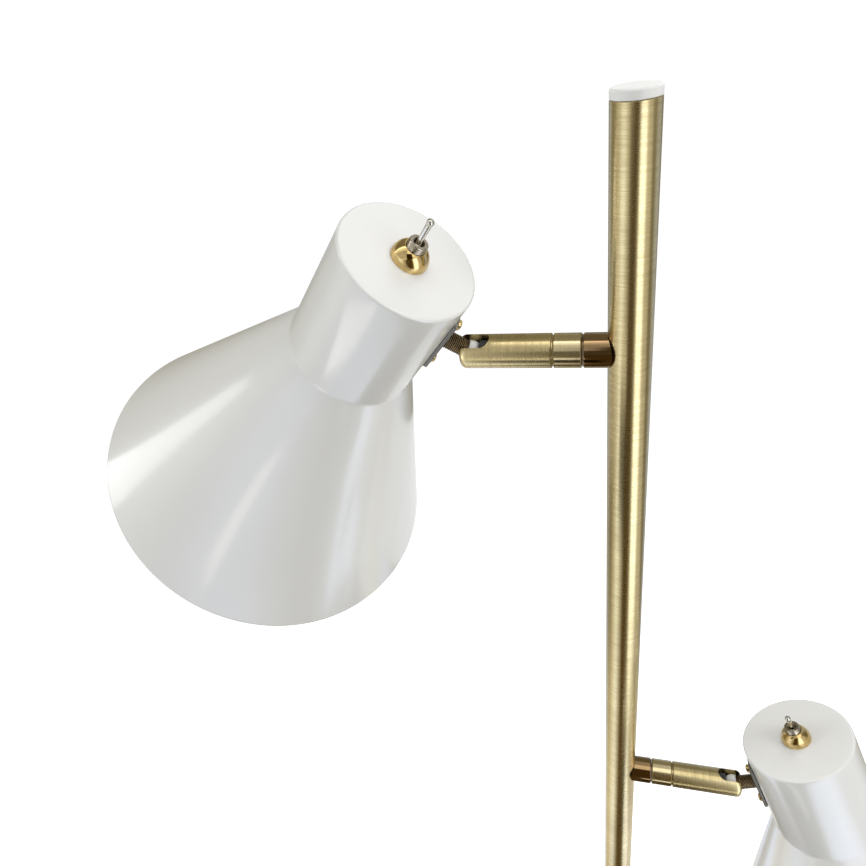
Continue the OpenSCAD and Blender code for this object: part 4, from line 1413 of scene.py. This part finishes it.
@dataclass
class Head(Sided):
    """A ball on a threaded stem, and the shade with all that it carries."""

    side: Side
    ball_r: float = 6.0
    stem_r: float = 4.95
    root_r: float = 4.5
    pitch: float = 1.0
    stem_start: float = 3.44
    stem_end: float = 25.5
    stem_bore: float = 2.3
    tenon_r: float = 3.5
    tenon_end: float = -2.0
    strap_x: float = 16.0
    screw_zs: tuple[float, float] = (-17.0, 12.5)
    screw_r: float = 1.5
    screw_head_r: float = 2.9
    screw_head_h: float = 3.0
    screw_crown: float = 4.4
    screw_end: float = 23.6
    neck_x: float = 54.45
    cap_z: float = 35.7
    neck_r: float = 36.45
    neck_l: float = 75.6
    rim_r: float = 113.15
    shade_l: float = 235.0
    wall: float = 0.8
    cap_r: float = 1.6
    fillet: float = 6.0
    lip: float = 2.5
    holder_top: float = -23.5
    holder_r: float = 19.5
    holder_l: float = 46.0
    holder_bore: float = 13.6
    holder_depth: float = 27.0
    holder_hole: float = 5.0
    rib_count: int = 30
    bulb_r: float = 30.0
    bulb_l: float = 104.0
    bulb_thread: float = 1.1
    bulb_pitch: float = 3.6
    dome_r: float = 9.75
    dome_h: float = 8.2
    flange_r: float = 6.8
    flange_t: float = 1.5
    cavity_r: float = 2.65
    throat_r: float = 2.15
    throat_l: float = 1.9
    cavity_floor: float = 3.0
    bushing_h: float = 11.6
    lever_h: float = 8.0
    lever_l: float = 14.1
    lever_throw: float = 12.0
    lever_ball: float = 2.5
    lever_tip: float = 1.95
    lever_r: float = 1.45
    lever_flare: float = 1.65
    lever_tail: float = 4.0

    def __post_init__(self) -> None:
        """Finds the head's frames."""
        self.name = self.side.value
        self.body = f"{self.name}_head"
        self.place = head_frame(self.side)
        self.axis = self.place.along_x()
        spun = self.place.moved(self.neck_x, 0, 0)
        self.spin = LocalFrame(f"{self.name}_shade", spun.origin, spun.turn)
        self.top = self.spin.moved(0, 0, self.cap_z)

    def ball(self) -> None:
        """Turns the ball, bored for the stem."""
        r, flat, bottom = self.ball_r, self.stem_start - SLIP, self.tenon_end - SLIP
        hole, tenon = self.stem_r + SLIP, self.tenon_r + SLIP
        top, low = (math.degrees(math.acos(bore / r)) for bore in (hole, self.stem_bore))
        inner = [(hole, flat), (tenon, flat), (tenon, bottom), (self.stem_bore, bottom)]
        bm = lathe(eased(arc(0, 0, r, -low, top, 30) + inner, 0.08), 96)
        self.piece("ball_turned", bm, Slot.BALL, "ball")

    def stem(self) -> None:
        """Turns the hollow stem and cuts its thread."""
        r, bore, tenon = self.stem_r, self.stem_bore, self.tenon_r
        profile = [
            (bore, self.tenon_end), (tenon, self.tenon_end), (tenon, self.stem_start),
            (self.root_r, self.stem_start), (r, self.stem_start + 0.5), (r, self.stem_end - 0.4),
            (self.root_r, self.stem_end), (bore, self.stem_end),
        ]
        bm = grown(
            lathe(spaced(profile, 0.11), 96), TREES.thread, Start=self.stem_start + 2.2, End=self.stem_end,
            Outer=r, Root=self.root_r, Pitch=self.pitch, Material=SHOP.get(Slot.BRONZE, self.axis),
        )
        self.piece("stem_threaded", bm, Slot.BRONZE, "stem", crease=60)

    def strap_screws(self) -> None:
        """Makes one pan-head screw with a cross recess and repeats it along the strap."""
        x, head, crown = self.strap_x, self.screw_head_r, self.screw_crown
        front = x - self.screw_head_h
        rise = math.degrees(math.asin(head / crown))
        dome = arc(0, front + crown, crown, 270, 270 + rise, 8)
        shank = [(head, x), (self.screw_r, x), (self.screw_r, self.screw_end), (0, self.screw_end)]
        screw = lathe(eased(dome + shank, 0.14), 56)
        long, half, deep = head * 0.6, 0.45, 1.1
        recess = [block((-a, -b, front - 1), (a, b, front + deep)) for a, b in ((long, half), (half, long))]
        first, last = self.screw_zs
        screws = grown(
            carved(screw, recess), TREES.row, Count=2, Start=(-last, 0.0, 0.0), Step=(last - first, 0.0, 0.0),
            Material=SHOP.get(Slot.POLISHED_BRASS, self.axis),
        )
        self.piece("pan_screws", screws, Slot.POLISHED_BRASS, "strap_screws", crease=32)

    def shade(self) -> None:
        """Spins the shade: flat cap, neck, hollow fillet, cone and straight lip."""
        n, w, rim, length, turn = self.neck_r, self.wall, self.rim_r, self.shade_l, self.fillet
        angle = math.atan((rim - n) / (length - self.lip - self.neck_l))
        slope = math.degrees(angle)
        fillet_z = -self.neck_l + turn * math.tan(math.radians(slope / 2))
        lip_z = -(length - self.lip)
        lip_inner = lip_z - w * (1 / math.cos(math.radians(slope)) - 1) / math.tan(math.radians(slope))
        hole, inside = self.stem_r + SLIP, 0.8
        outer = [(hole, 0)] + arc(n - self.cap_r, -self.cap_r, self.cap_r, 90, 0, 8)
        outer += arc(n + turn, fillet_z, turn, 180, 180 + slope, 8) + [(rim, lip_z), (rim, -length)]
        inner = [(rim - w, -length), (rim - w, lip_inner)]
        inner += arc(n + turn, fillet_z, turn + w, 180 + slope, 180, 8)
        inner += arc(n - w - inside, -w - inside, inside, 0, 90, 6) + [(hole, -w)]
        bm = lathe(spaced(eased(outer + inner, 0.35, 3, 12), 6.0), 256)
        cutters = []
        for r, z in ((hole, 0.0), *((self.screw_r + SLIP, z) for z in self.screw_zs)):
            drill = rod(r, self.strap_x + 1, self.strap_x + 7)
            cutters.append(turned(drill, moved(-self.neck_x, 0, z - self.cap_z, "Y", 90)))
        self.piece("shade_spun", carved(bm, cutters), Slot.ENAMEL, "shade", self.top, grain=self.spin)

    def holder(self) -> None:
        """Moulds the lampholder and sets the grip ribs round it."""
        r, bore, hole = self.holder_r, self.holder_bore, self.holder_hole
        top, bottom = self.holder_top, self.holder_top - self.holder_l
        bore_top = bottom + self.holder_depth
        profile = [
            (hole, top), (12.5, top), (14.5, top - 2), (14.5, top - 8), (r - 1.6, top - 14),
            (r - 0.6, top - 16), (r - 0.6, bottom + 3), (r - 1, bottom + 2), (r - 1, bottom), (bore, bottom),
            (bore, bore_top), (hole, bore_top),
        ]
        shell = lathe(eased(profile, 0.6), 112)
        rib = broken_edges(block((r - 1.4, -0.8, bottom + 4), (r - 0.02, 0.8, top - 17)), 0.35)
        material = SHOP.get(Slot.HOLDER, self.spin)
        ribs = grown(rib, TREES.ring, Count=self.rib_count, First=0.0, Material=material)
        mesh = bpy.data.meshes.new("ribs")
        ribs.to_mesh(mesh)
        ribs.free()
        shell.from_mesh(mesh)
        bpy.data.meshes.remove(mesh)
        self.piece("holder_ribbed", shell, Slot.HOLDER, "lampholder", self.spin)

    def bulb(self) -> None:
        """Blows the globe and presses the threaded base that sits in the holder."""
        base_r, base_l = self.holder_bore - 0.3, self.holder_depth
        top = self.holder_top - self.holder_l + base_l - 0.3
        neck = top - base_l
        globe = arc(0, top - self.bulb_l + self.bulb_r, self.bulb_r, -90, 22, 26)
        globe += [(base_r - 0.2, neck - 0.4), (base_r - 0.5, neck + 3), (0, neck + 3)]
        self.piece("bulb_globe", lathe(globe, 96), Slot.OPAL, "bulb", self.spin, crease=60)
        metal = [
            (0, neck + 0.2), (base_r, neck + 0.2), (base_r, top - 4), (9, top - 2), (5, top), (2, top),
            (2, top - 0.6), (0, top - 0.6),
        ]
        base = grown(
            lathe(spaced(eased(metal, 0.2), 0.35), 96), TREES.thread, Start=neck + 2, End=top - 4,
            Outer=base_r, Root=base_r - self.bulb_thread, Pitch=self.bulb_pitch,
            Material=SHOP.get(Slot.NICKEL, self.spin),
        )
        self.piece("bulb_base", base, Slot.NICKEL, "", self.spin, crease=50)

    def dome(self) -> None:
        """Turns the domed nut that holds the switch."""
        r, rise, hole = self.dome_r, 0.3, self.stem_r + SLIP
        high = math.degrees(math.asin((self.dome_h - rise) / r))
        profile = [(hole, 0), (r, 0)] + arc(0, rise, r, 0, high, 22) + [(hole, self.dome_h)]
        bm = lathe(eased(profile, 0.15, 3, 30), 128)
        self.piece("dome_turned", bm, Slot.POLISHED_BRASS, "dome_nut", self.top)

    def bushing(self) -> None:
        """Turns the switch's bushing and cuts the thread that shows above the nut."""
        r, w, h = self.stem_r, self.wall, self.bushing_h
        under, shelf, floor = -w - self.flange_t, h - self.throat_l, self.cavity_floor
        profile = [
            (0, under), (self.flange_r, under), (self.flange_r, -w), (r, -w), (r, h - 0.4), (r - 0.4, h),
            (self.throat_r + 0.9, h), (self.throat_r, shelf), (self.cavity_r, shelf), (self.cavity_r, floor),
            (0, floor),
        ]
        bm = grown(
            lathe(spaced(eased(profile, 0.12, 2), 0.11), 96), TREES.thread, Start=self.dome_h - 2,
            End=h - 0.3, Outer=r, Root=self.root_r, Pitch=self.pitch,
            Material=SHOP.get(Slot.NICKEL, self.top),
        )
        self.piece("bushing_threaded", bm, Slot.NICKEL, "toggle_bushing", self.top, crease=55)

    def lever(self) -> None:
        """Turns the toggle lever with its pivot ball and round tip."""
        place = self.top.moved(0, 0, self.lever_h).turned_x(self.lever_throw)
        ball, tip, flare, tail, length = (
            self.lever_ball, self.lever_tip, self.lever_flare, self.lever_tail, self.lever_l
        )
        low = math.degrees(math.asin(1.0 / ball))
        lower = arc(0, 0, ball, -90 + low, math.degrees(math.acos(self.lever_r / ball)), 16)
        join = math.degrees(math.acos(flare / tip))
        below_tip = length - math.sin(math.radians(join)) * tip - 0.5
        upper = arc(0, length, tip, -join, 90, 16)[:-1] + [(0, length + tip)]
        profile = [(0, -tail), (0.9, -tail), (1.0, -tail + 0.2)] + lower + [(flare - 0.02, below_tip)] + upper
        body = f"{self.name}_lever"
        self.piece("lever_turned", lathe(profile, 72), Slot.CHROME, "toggle_lever", place, body, crease=40)

    def refine(self, node: str, slot: Slot, grain: LocalFrame, edge: float, **how: object) -> None:
        """Replaces one of the head's nodes by its own mesh with broken edges."""
        refined(f"{self.name}_{node}", self.body, slot, grain, edge, **how)

    def build(self) -> None:
        """Makes every piece of the head."""
        self.ball()
        self.stem()
        self.refine("stem_nut", Slot.ZINC, self.axis, 0.3)
        self.refine("strap", Slot.BLACK_STEEL, self.axis, 0.25, sheared=True)
        self.strap_screws()
        self.refine("bracket", Slot.ZINC, self.axis, 0.2)
        self.shade()
        dress(self.spin, {f"{self.name}_holder_nipple": Slot.TURNED_BRASS})
        self.holder()
        self.bulb()
        self.dome()
        self.bushing()
        self.refine("toggle_body", Slot.SWITCH, self.spin, 0.35)
        self.lever()
        self.refine("head_leads", Slot.LEAD, self.spin, 0, crease=70)


# ---- Studio ----

COOL = (0.90, 0.985, 1.18)
PLAIN = (1.0, 1.0, 1.0)
WARM = (1.0, 0.93, 0.68)
BROWN = (1.0, 0.66, 0.22)


@dataclass(frozen=True)
class Panel:
    """A flat panel of the studio that only reflections see, level or facing the front."""

    name: str
    low: Place
    high: Place
    level: float
    tint: Colour = PLAIN


@dataclass(frozen=True)
class Card:
    """A small bright card that shows only in gloss close to it.

    Attributes:
        name: Its name.
        corners: Its four corners in metres.
        level: Its brightness.
        near: Shortest way in metres from a surface that mirrors it.
        reach: Longest way in metres from a surface that mirrors it.
    """

    name: str
    corners: tuple[Place, ...]
    level: float
    near: float
    reach: float


@dataclass(frozen=True)
class Band:
    """An upright stretch of the round wall that only reflections see.

    Attributes:
        start: Its first azimuth in degrees, from the front towards the right.
        end: Its last azimuth.
        high: Its brightness in the wall's upper part.
        low: Its brightness in the wall's lower part.
        tint: Its colour.
    """

    start: float
    end: float
    high: float
    low: float
    tint: Colour


@dataclass
class Studio:
    """White floor and surroundings, soft lamps, and the wall and panels that metal reflects."""

    wall_radius: float = 0.36
    wall_foot: float = 0.01
    wall_top: float = 1.52
    wall_steps: int = 72
    wall_seam: tuple[float, float] = (0.55, 0.90)
    spread_from: float = 1.40
    spread_rate: float = 0.53
    ambient: float = 0.454
    bands: tuple[Band, ...] = (
        Band(-180, -152, 0.24, 0.40, WARM),
        Band(-142, -130, 0.60, 1.20, COOL),
        Band(-118, -90, 0.29, 0.85, WARM),
        Band(-76, -68, 0.76, 1.25, PLAIN),
        Band(-57, -42, 1.45, 1.60, COOL),
        Band(-29, -27, 0.70, 0.80, PLAIN),
        Band(-10, 11, 0.10, 0.14, BROWN),
        Band(19, 20, 0.35, 0.35, WARM),
        Band(27, 46, 2.50, 1.95, COOL),
        Band(57, 75, 0.72, 1.05, PLAIN),
        Band(86, 96, 0.24, 0.85, WARM),
        Band(112, 130, 0.58, 0.95, COOL),
        Band(152, 180, 0.24, 0.40, WARM),
    )
    panels: tuple[Panel, ...] = (
        Panel("over_left_front", (-1.4, -2.3, 2.2), (0.0, -0.42, 2.2), 0.62),
        Panel("over_left", (-1.4, -0.42, 2.2), (0.0, -0.03, 2.2), 1.15),
        Panel("over_left_back", (-1.4, -0.03, 2.2), (0.0, 2.0, 2.2), 0.25, WARM),
        Panel("over_right_front", (0.0, -2.3, 2.2), (1.4, 0.0, 2.2), 1.50),
        Panel("over_right_back", (0.0, 0.0, 2.2), (1.4, 2.0, 2.2), 0.65),
        Panel("below", (-0.35, -0.35, 0.03), (0.35, 0.35, 0.03), 0.08, BROWN),
        Panel("viewer", (-0.05, -0.75, 1.45), (0.50, -0.75, 2.15), 0.04, BROWN),
        Panel("viewer_arm", (-0.32, -0.34, 1.36), (-0.01, -0.34, 1.48), 0.12, WARM),
        Panel("over_strip", (-1.4, -0.20, 2.19), (0.0, -0.08, 2.19), 2.3),
        Panel("arm_glow", (-0.12, -0.12, 1.300), (-0.032, -0.12, 1.332), 1.1),
        Panel("arm_dark", (-0.12, -0.12, 1.170), (-0.02, -0.12, 1.290), 0.02, BROWN),
        Panel("low_arm_glow", (0.02, -0.12, 0.938), (0.12, -0.12, 0.970), 1.3),
        Panel("low_arm_dark", (0.02, -0.12, 0.808), (0.12, -0.12, 0.928), 0.02, BROWN),
    )
    cards: tuple[Card, ...] = (
        Card(
            "gloss_rim",
            ((-0.35, -0.060, 1.30), (-0.35, -0.022, 1.30), (-0.35, -0.028, 1.44), (-0.35, -0.066, 1.44)),
            2.4, 0.0, 0.16,
        ),
        Card(
            "gloss_neck",
            ((-0.25, -0.085, 1.40), (-0.25, -0.20, 1.29), (-0.25, -0.155, 1.235), (-0.25, -0.085, 1.32)),
            3.0, 0.14, 0.27,
        ),
        Card(
            "gloss_cone",
            ((-0.325, -0.20, 1.19), (-0.295, -0.20, 1.19), (-0.225, -0.20, 1.31), (-0.255, -0.20, 1.31)),
            3.6, 0.0, 0.29,
        ),
        Card(
            "gloss_side",
            ((-0.06, 0.06, 1.04), (-0.19, 0.19, 1.04), (-0.19, 0.19, 1.25), (-0.06, 0.06, 1.25)),
            0.9, 0.0, 0.30,
        ),
    )
    lamps: tuple[tuple[str, Place, Place, float], ...] = (
        ("top", (0.0, -0.1, 2.9), (0.0, 0.0, 1.3), 5.1),
        ("upper_right", (1.2, -0.4, 2.3), (0.0, 0.0, 1.25), 12.0),
        ("left", (-1.7, -0.3, 1.3), (-0.1, 0.0, 1.3), 13.2),
        ("upper_back", (0.2, 1.2, 2.4), (0.0, 0.0, 1.2), 8.0),
        ("lower_right", (1.3, -0.7, 0.55), (0.1, 0.0, 1.15), 4.5),
    )
    lamp_size: float = 0.9
    floor_half: float = 12.0
    floor_colour: Colour = (0.86, 0.86, 0.85)
    floor_glow: float = 0.64
    camera_at: Place = (0.0, -0.32357, 1.5456)
    camera_turn: Place = (-0.32904009, 0.56094369, 0.15554689)
    camera_lens: float = 28.499
    camera_sensor: float = 36.0

    def _stage_mesh(self, name: str, verts: list[Place], faces: list[tuple], material: Material) -> Object:
        """Adds a stage object that isn't part of the lamp."""
        mesh = bpy.data.meshes.new(name)
        mesh.from_pydata(verts, [], faces)
        mesh.materials.append(material)
        obj = bpy.data.objects.new(name, mesh)
        bpy.context.scene.collection.objects.link(obj)
        return obj

    def _only_reflected(self, obj: Object) -> None:
        """Lets only glossy rays see an object."""
        for ray in ("camera", "diffuse", "transmission", "volume_scatter", "shadow"):
            setattr(obj, f"visible_{ray}", False)

    def _emitter(self, name: str) -> tuple[Material, Nodes]:
        """Starts an empty material that isn't sampled as a lamp, and its builder."""
        material = bpy.data.materials.new(name)
        material.use_nodes = True
        material.cycles.emission_sampling = "NONE"
        material.node_tree.nodes.clear()
        return material, Nodes(material.node_tree)

    def _glow(self, name: str, level: float, tint: Colour, span: Point | None = None) -> Material:
        """A plain emitting material.

        Args:
            name: The material's name.
            level: Its brightness.
            tint: Its colour.
            span: Shortest and longest ray in metres that the card stops, if it lets others through.

        Returns:
            The material.
        """
        material, nodes = self._emitter(name)
        surface = nodes.result(0, "ShaderNodeEmission", {"Color": tint, "Strength": level})
        if span:
            length = nodes.result("Ray Length", "ShaderNodeLightPath")
            inside = nodes.math("GREATER_THAN", length, span[0]) * nodes.math("LESS_THAN", length, span[1])
            clear = nodes.result(0, "ShaderNodeBsdfTransparent")
            surface = nodes.result(0, "ShaderNodeMixShader", {0: inside, 1: clear, 2: surface})
        nodes.add("ShaderNodeOutputMaterial", {"Surface": surface})
        return material

    def floor(self) -> None:
        """Lays the white floor, which keeps the lamp's shadow."""
        material = bpy.data.materials.new("white_floor")
        material.use_nodes = True
        nodes = Nodes(material.node_tree)
        values = {
            "Roughness": 0.9, "Specular IOR Level": 0.0, "Base Color": self.floor_colour,
            "Emission Color": PLAIN, "Emission Strength": nodes.seen() * self.floor_glow,
        }
        for key, value in values.items():
            nodes.put(material.node_tree.nodes["Principled BSDF"].inputs[key], value)
        half = self.floor_half
        corners = [(-half, -half, 0), (half, -half, 0), (half, half, 0), (-half, half, 0)]
        self._stage_mesh("floor", corners, [(0, 1, 2, 3)], material)

    def _ramp(self, nodes: Nodes, turn: Value, levels: list[tuple[Band, float]]) -> Socket:
        """Lays the wall's bands on a colour ramp.

        Args:
            nodes: The builder of the wall's material.
            turn: Place round the wall from 0 to 1.
            levels: Each band with its share of the peak brightness.

        Returns:
            The ramp's colour.
        """
        ramp = nodes.add("ShaderNodeValToRGB", {0: turn})
        stops = ramp.color_ramp.elements
        ends = [(at, level, band.tint) for band, level in levels for at in (band.start, band.end)]
        while len(stops) < len(ends):
            stops.new(0.5)
        for stop, (azimuth, level, tint) in zip(stops, ends):
            stop.position = (azimuth + 180) / 360
            stop.color = (*(c * level for c in tint), 1)
        return ramp.outputs["Color"]

    def reflection_wall(self) -> None:
        """Stands a round wall of light and dark bands about the lamp, for reflections alone."""
        material, nodes = self._emitter("reflected_bands")
        x, y, z = nodes.separate(nodes.add("ShaderNodeTexCoord").outputs["Object"])
        angle = nodes.math("ARCTAN2", x, y * -1.0)
        fan = (self.spread_from - z) * self.spread_rate
        right = nodes.math("MAXIMUM", angle, 0.0) / (fan + 1.0)
        turn = nodes.spread(right + nodes.math("MINIMUM", angle, 0.0), -math.pi, math.pi)
        peak = max(max(band.high, band.low) * max(band.tint) for band in self.bands)
        upper = self._ramp(nodes, turn, [(band, band.high / peak) for band in self.bands])
        lower = self._ramp(nodes, turn, [(band, band.low / peak) for band in self.bands])
        colour = nodes.blend(nodes.spread(z, *self.wall_seam), lower, upper)
        glow = nodes.result(0, "ShaderNodeEmission", {"Color": colour, "Strength": peak})
        nodes.add("ShaderNodeOutputMaterial", {"Surface": glow})
        verts, faces = [], []
        for k in range(self.wall_steps):
            t = 2 * math.pi * k / self.wall_steps
            for height in (self.wall_foot, self.wall_top):
                verts.append((self.wall_radius * math.cos(t), self.wall_radius * math.sin(t), height))
            a, b = 2 * k, 2 * ((k + 1) % self.wall_steps)
            faces.append((a, a + 1, b + 1, b))
        self._only_reflected(self._stage_mesh("reflection_wall", verts, faces, material))

    def reflection_panels(self) -> None:
        """Hangs the level panels that the arms and domes reflect."""
        for panel in self.panels:
            (x0, y0, z0), (x1, y1, z1) = panel.low, panel.high
            corners = [(x0, y0, z0), (x1, y0, z0), (x1, y1, z1), (x0, y1, z1)]
            material = self._glow(panel.name, panel.level, panel.tint)
            self._only_reflected(self._stage_mesh(panel.name, corners, [(0, 1, 2, 3)], material))
        for card in self.cards:
            material = self._glow(card.name, card.level, PLAIN, (card.near, card.reach))
            self._only_reflected(self._stage_mesh(card.name, list(card.corners), [(0, 1, 2, 3)], material))

    def hang_lamps(self) -> None:
        """Hangs the square soft lamps, which light the lamp but don't show in reflections."""
        for name, at, to, watts in self.lamps:
            light = bpy.data.lights.new(name, "AREA")
            light.size = self.lamp_size
            light.energy = watts
            obj = bpy.data.objects.new(name, light)
            obj.location = at
            obj.rotation_euler = (Vector(to) - Vector(at)).to_track_quat("-Z", "Y").to_euler()
            obj.visible_glossy = False
            bpy.context.scene.collection.objects.link(obj)

    def world(self) -> None:
        """Surrounds the scene with white, dimmer for the light that it gives than for how it is seen."""
        world = bpy.data.worlds.new("studio")
        world.use_nodes = True
        bpy.context.scene.world = world
        nodes = Nodes(world.node_tree)
        back = world.node_tree.nodes["Background"]
        nodes.put(back.inputs["Color"], PLAIN)
        nodes.put(back.inputs["Strength"], nodes.spread(nodes.seen(), 0.0, 1.0, self.ambient, 1.0))

    def camera(self) -> None:
        """Sets the camera where the photograph was taken from."""
        yaw, pitch, roll = self.camera_turn
        forward = Vector((math.sin(yaw) * math.cos(pitch), math.cos(yaw) * math.cos(pitch), -math.sin(pitch)))
        right = Vector((math.cos(yaw), -math.sin(yaw), 0))
        down = forward.cross(right)
        across = math.cos(roll) * right + math.sin(roll) * down
        below = -math.sin(roll) * right + math.cos(roll) * down
        data = bpy.data.cameras.new("camera")
        data.sensor_width = self.camera_sensor
        data.lens = self.camera_lens
        data.clip_start, data.clip_end = 0.01, 100
        obj = bpy.data.objects.new("camera", data)
        turn = Matrix((across, -below, -forward)).transposed().to_4x4()
        obj.matrix_world = Matrix.Translation(self.camera_at) @ turn
        bpy.context.scene.collection.objects.link(obj)
        bpy.context.scene.camera = obj

    def build(self) -> None:
        """Sets up the whole studio."""
        bpy.context.scene.view_settings.view_transform = "Standard"
        self.camera()
        self.world()
        self.floor()
        self.reflection_wall()
        self.reflection_panels()
        self.hang_lamps()


def main() -> None:
    """Builds the lamp and its studio."""
    Studio().build()
    Foot().build()
    Pole().build()
    for side in Side:
        Arm(side).build()
        Head(side).build()


if __name__ == "__main__":
    main()
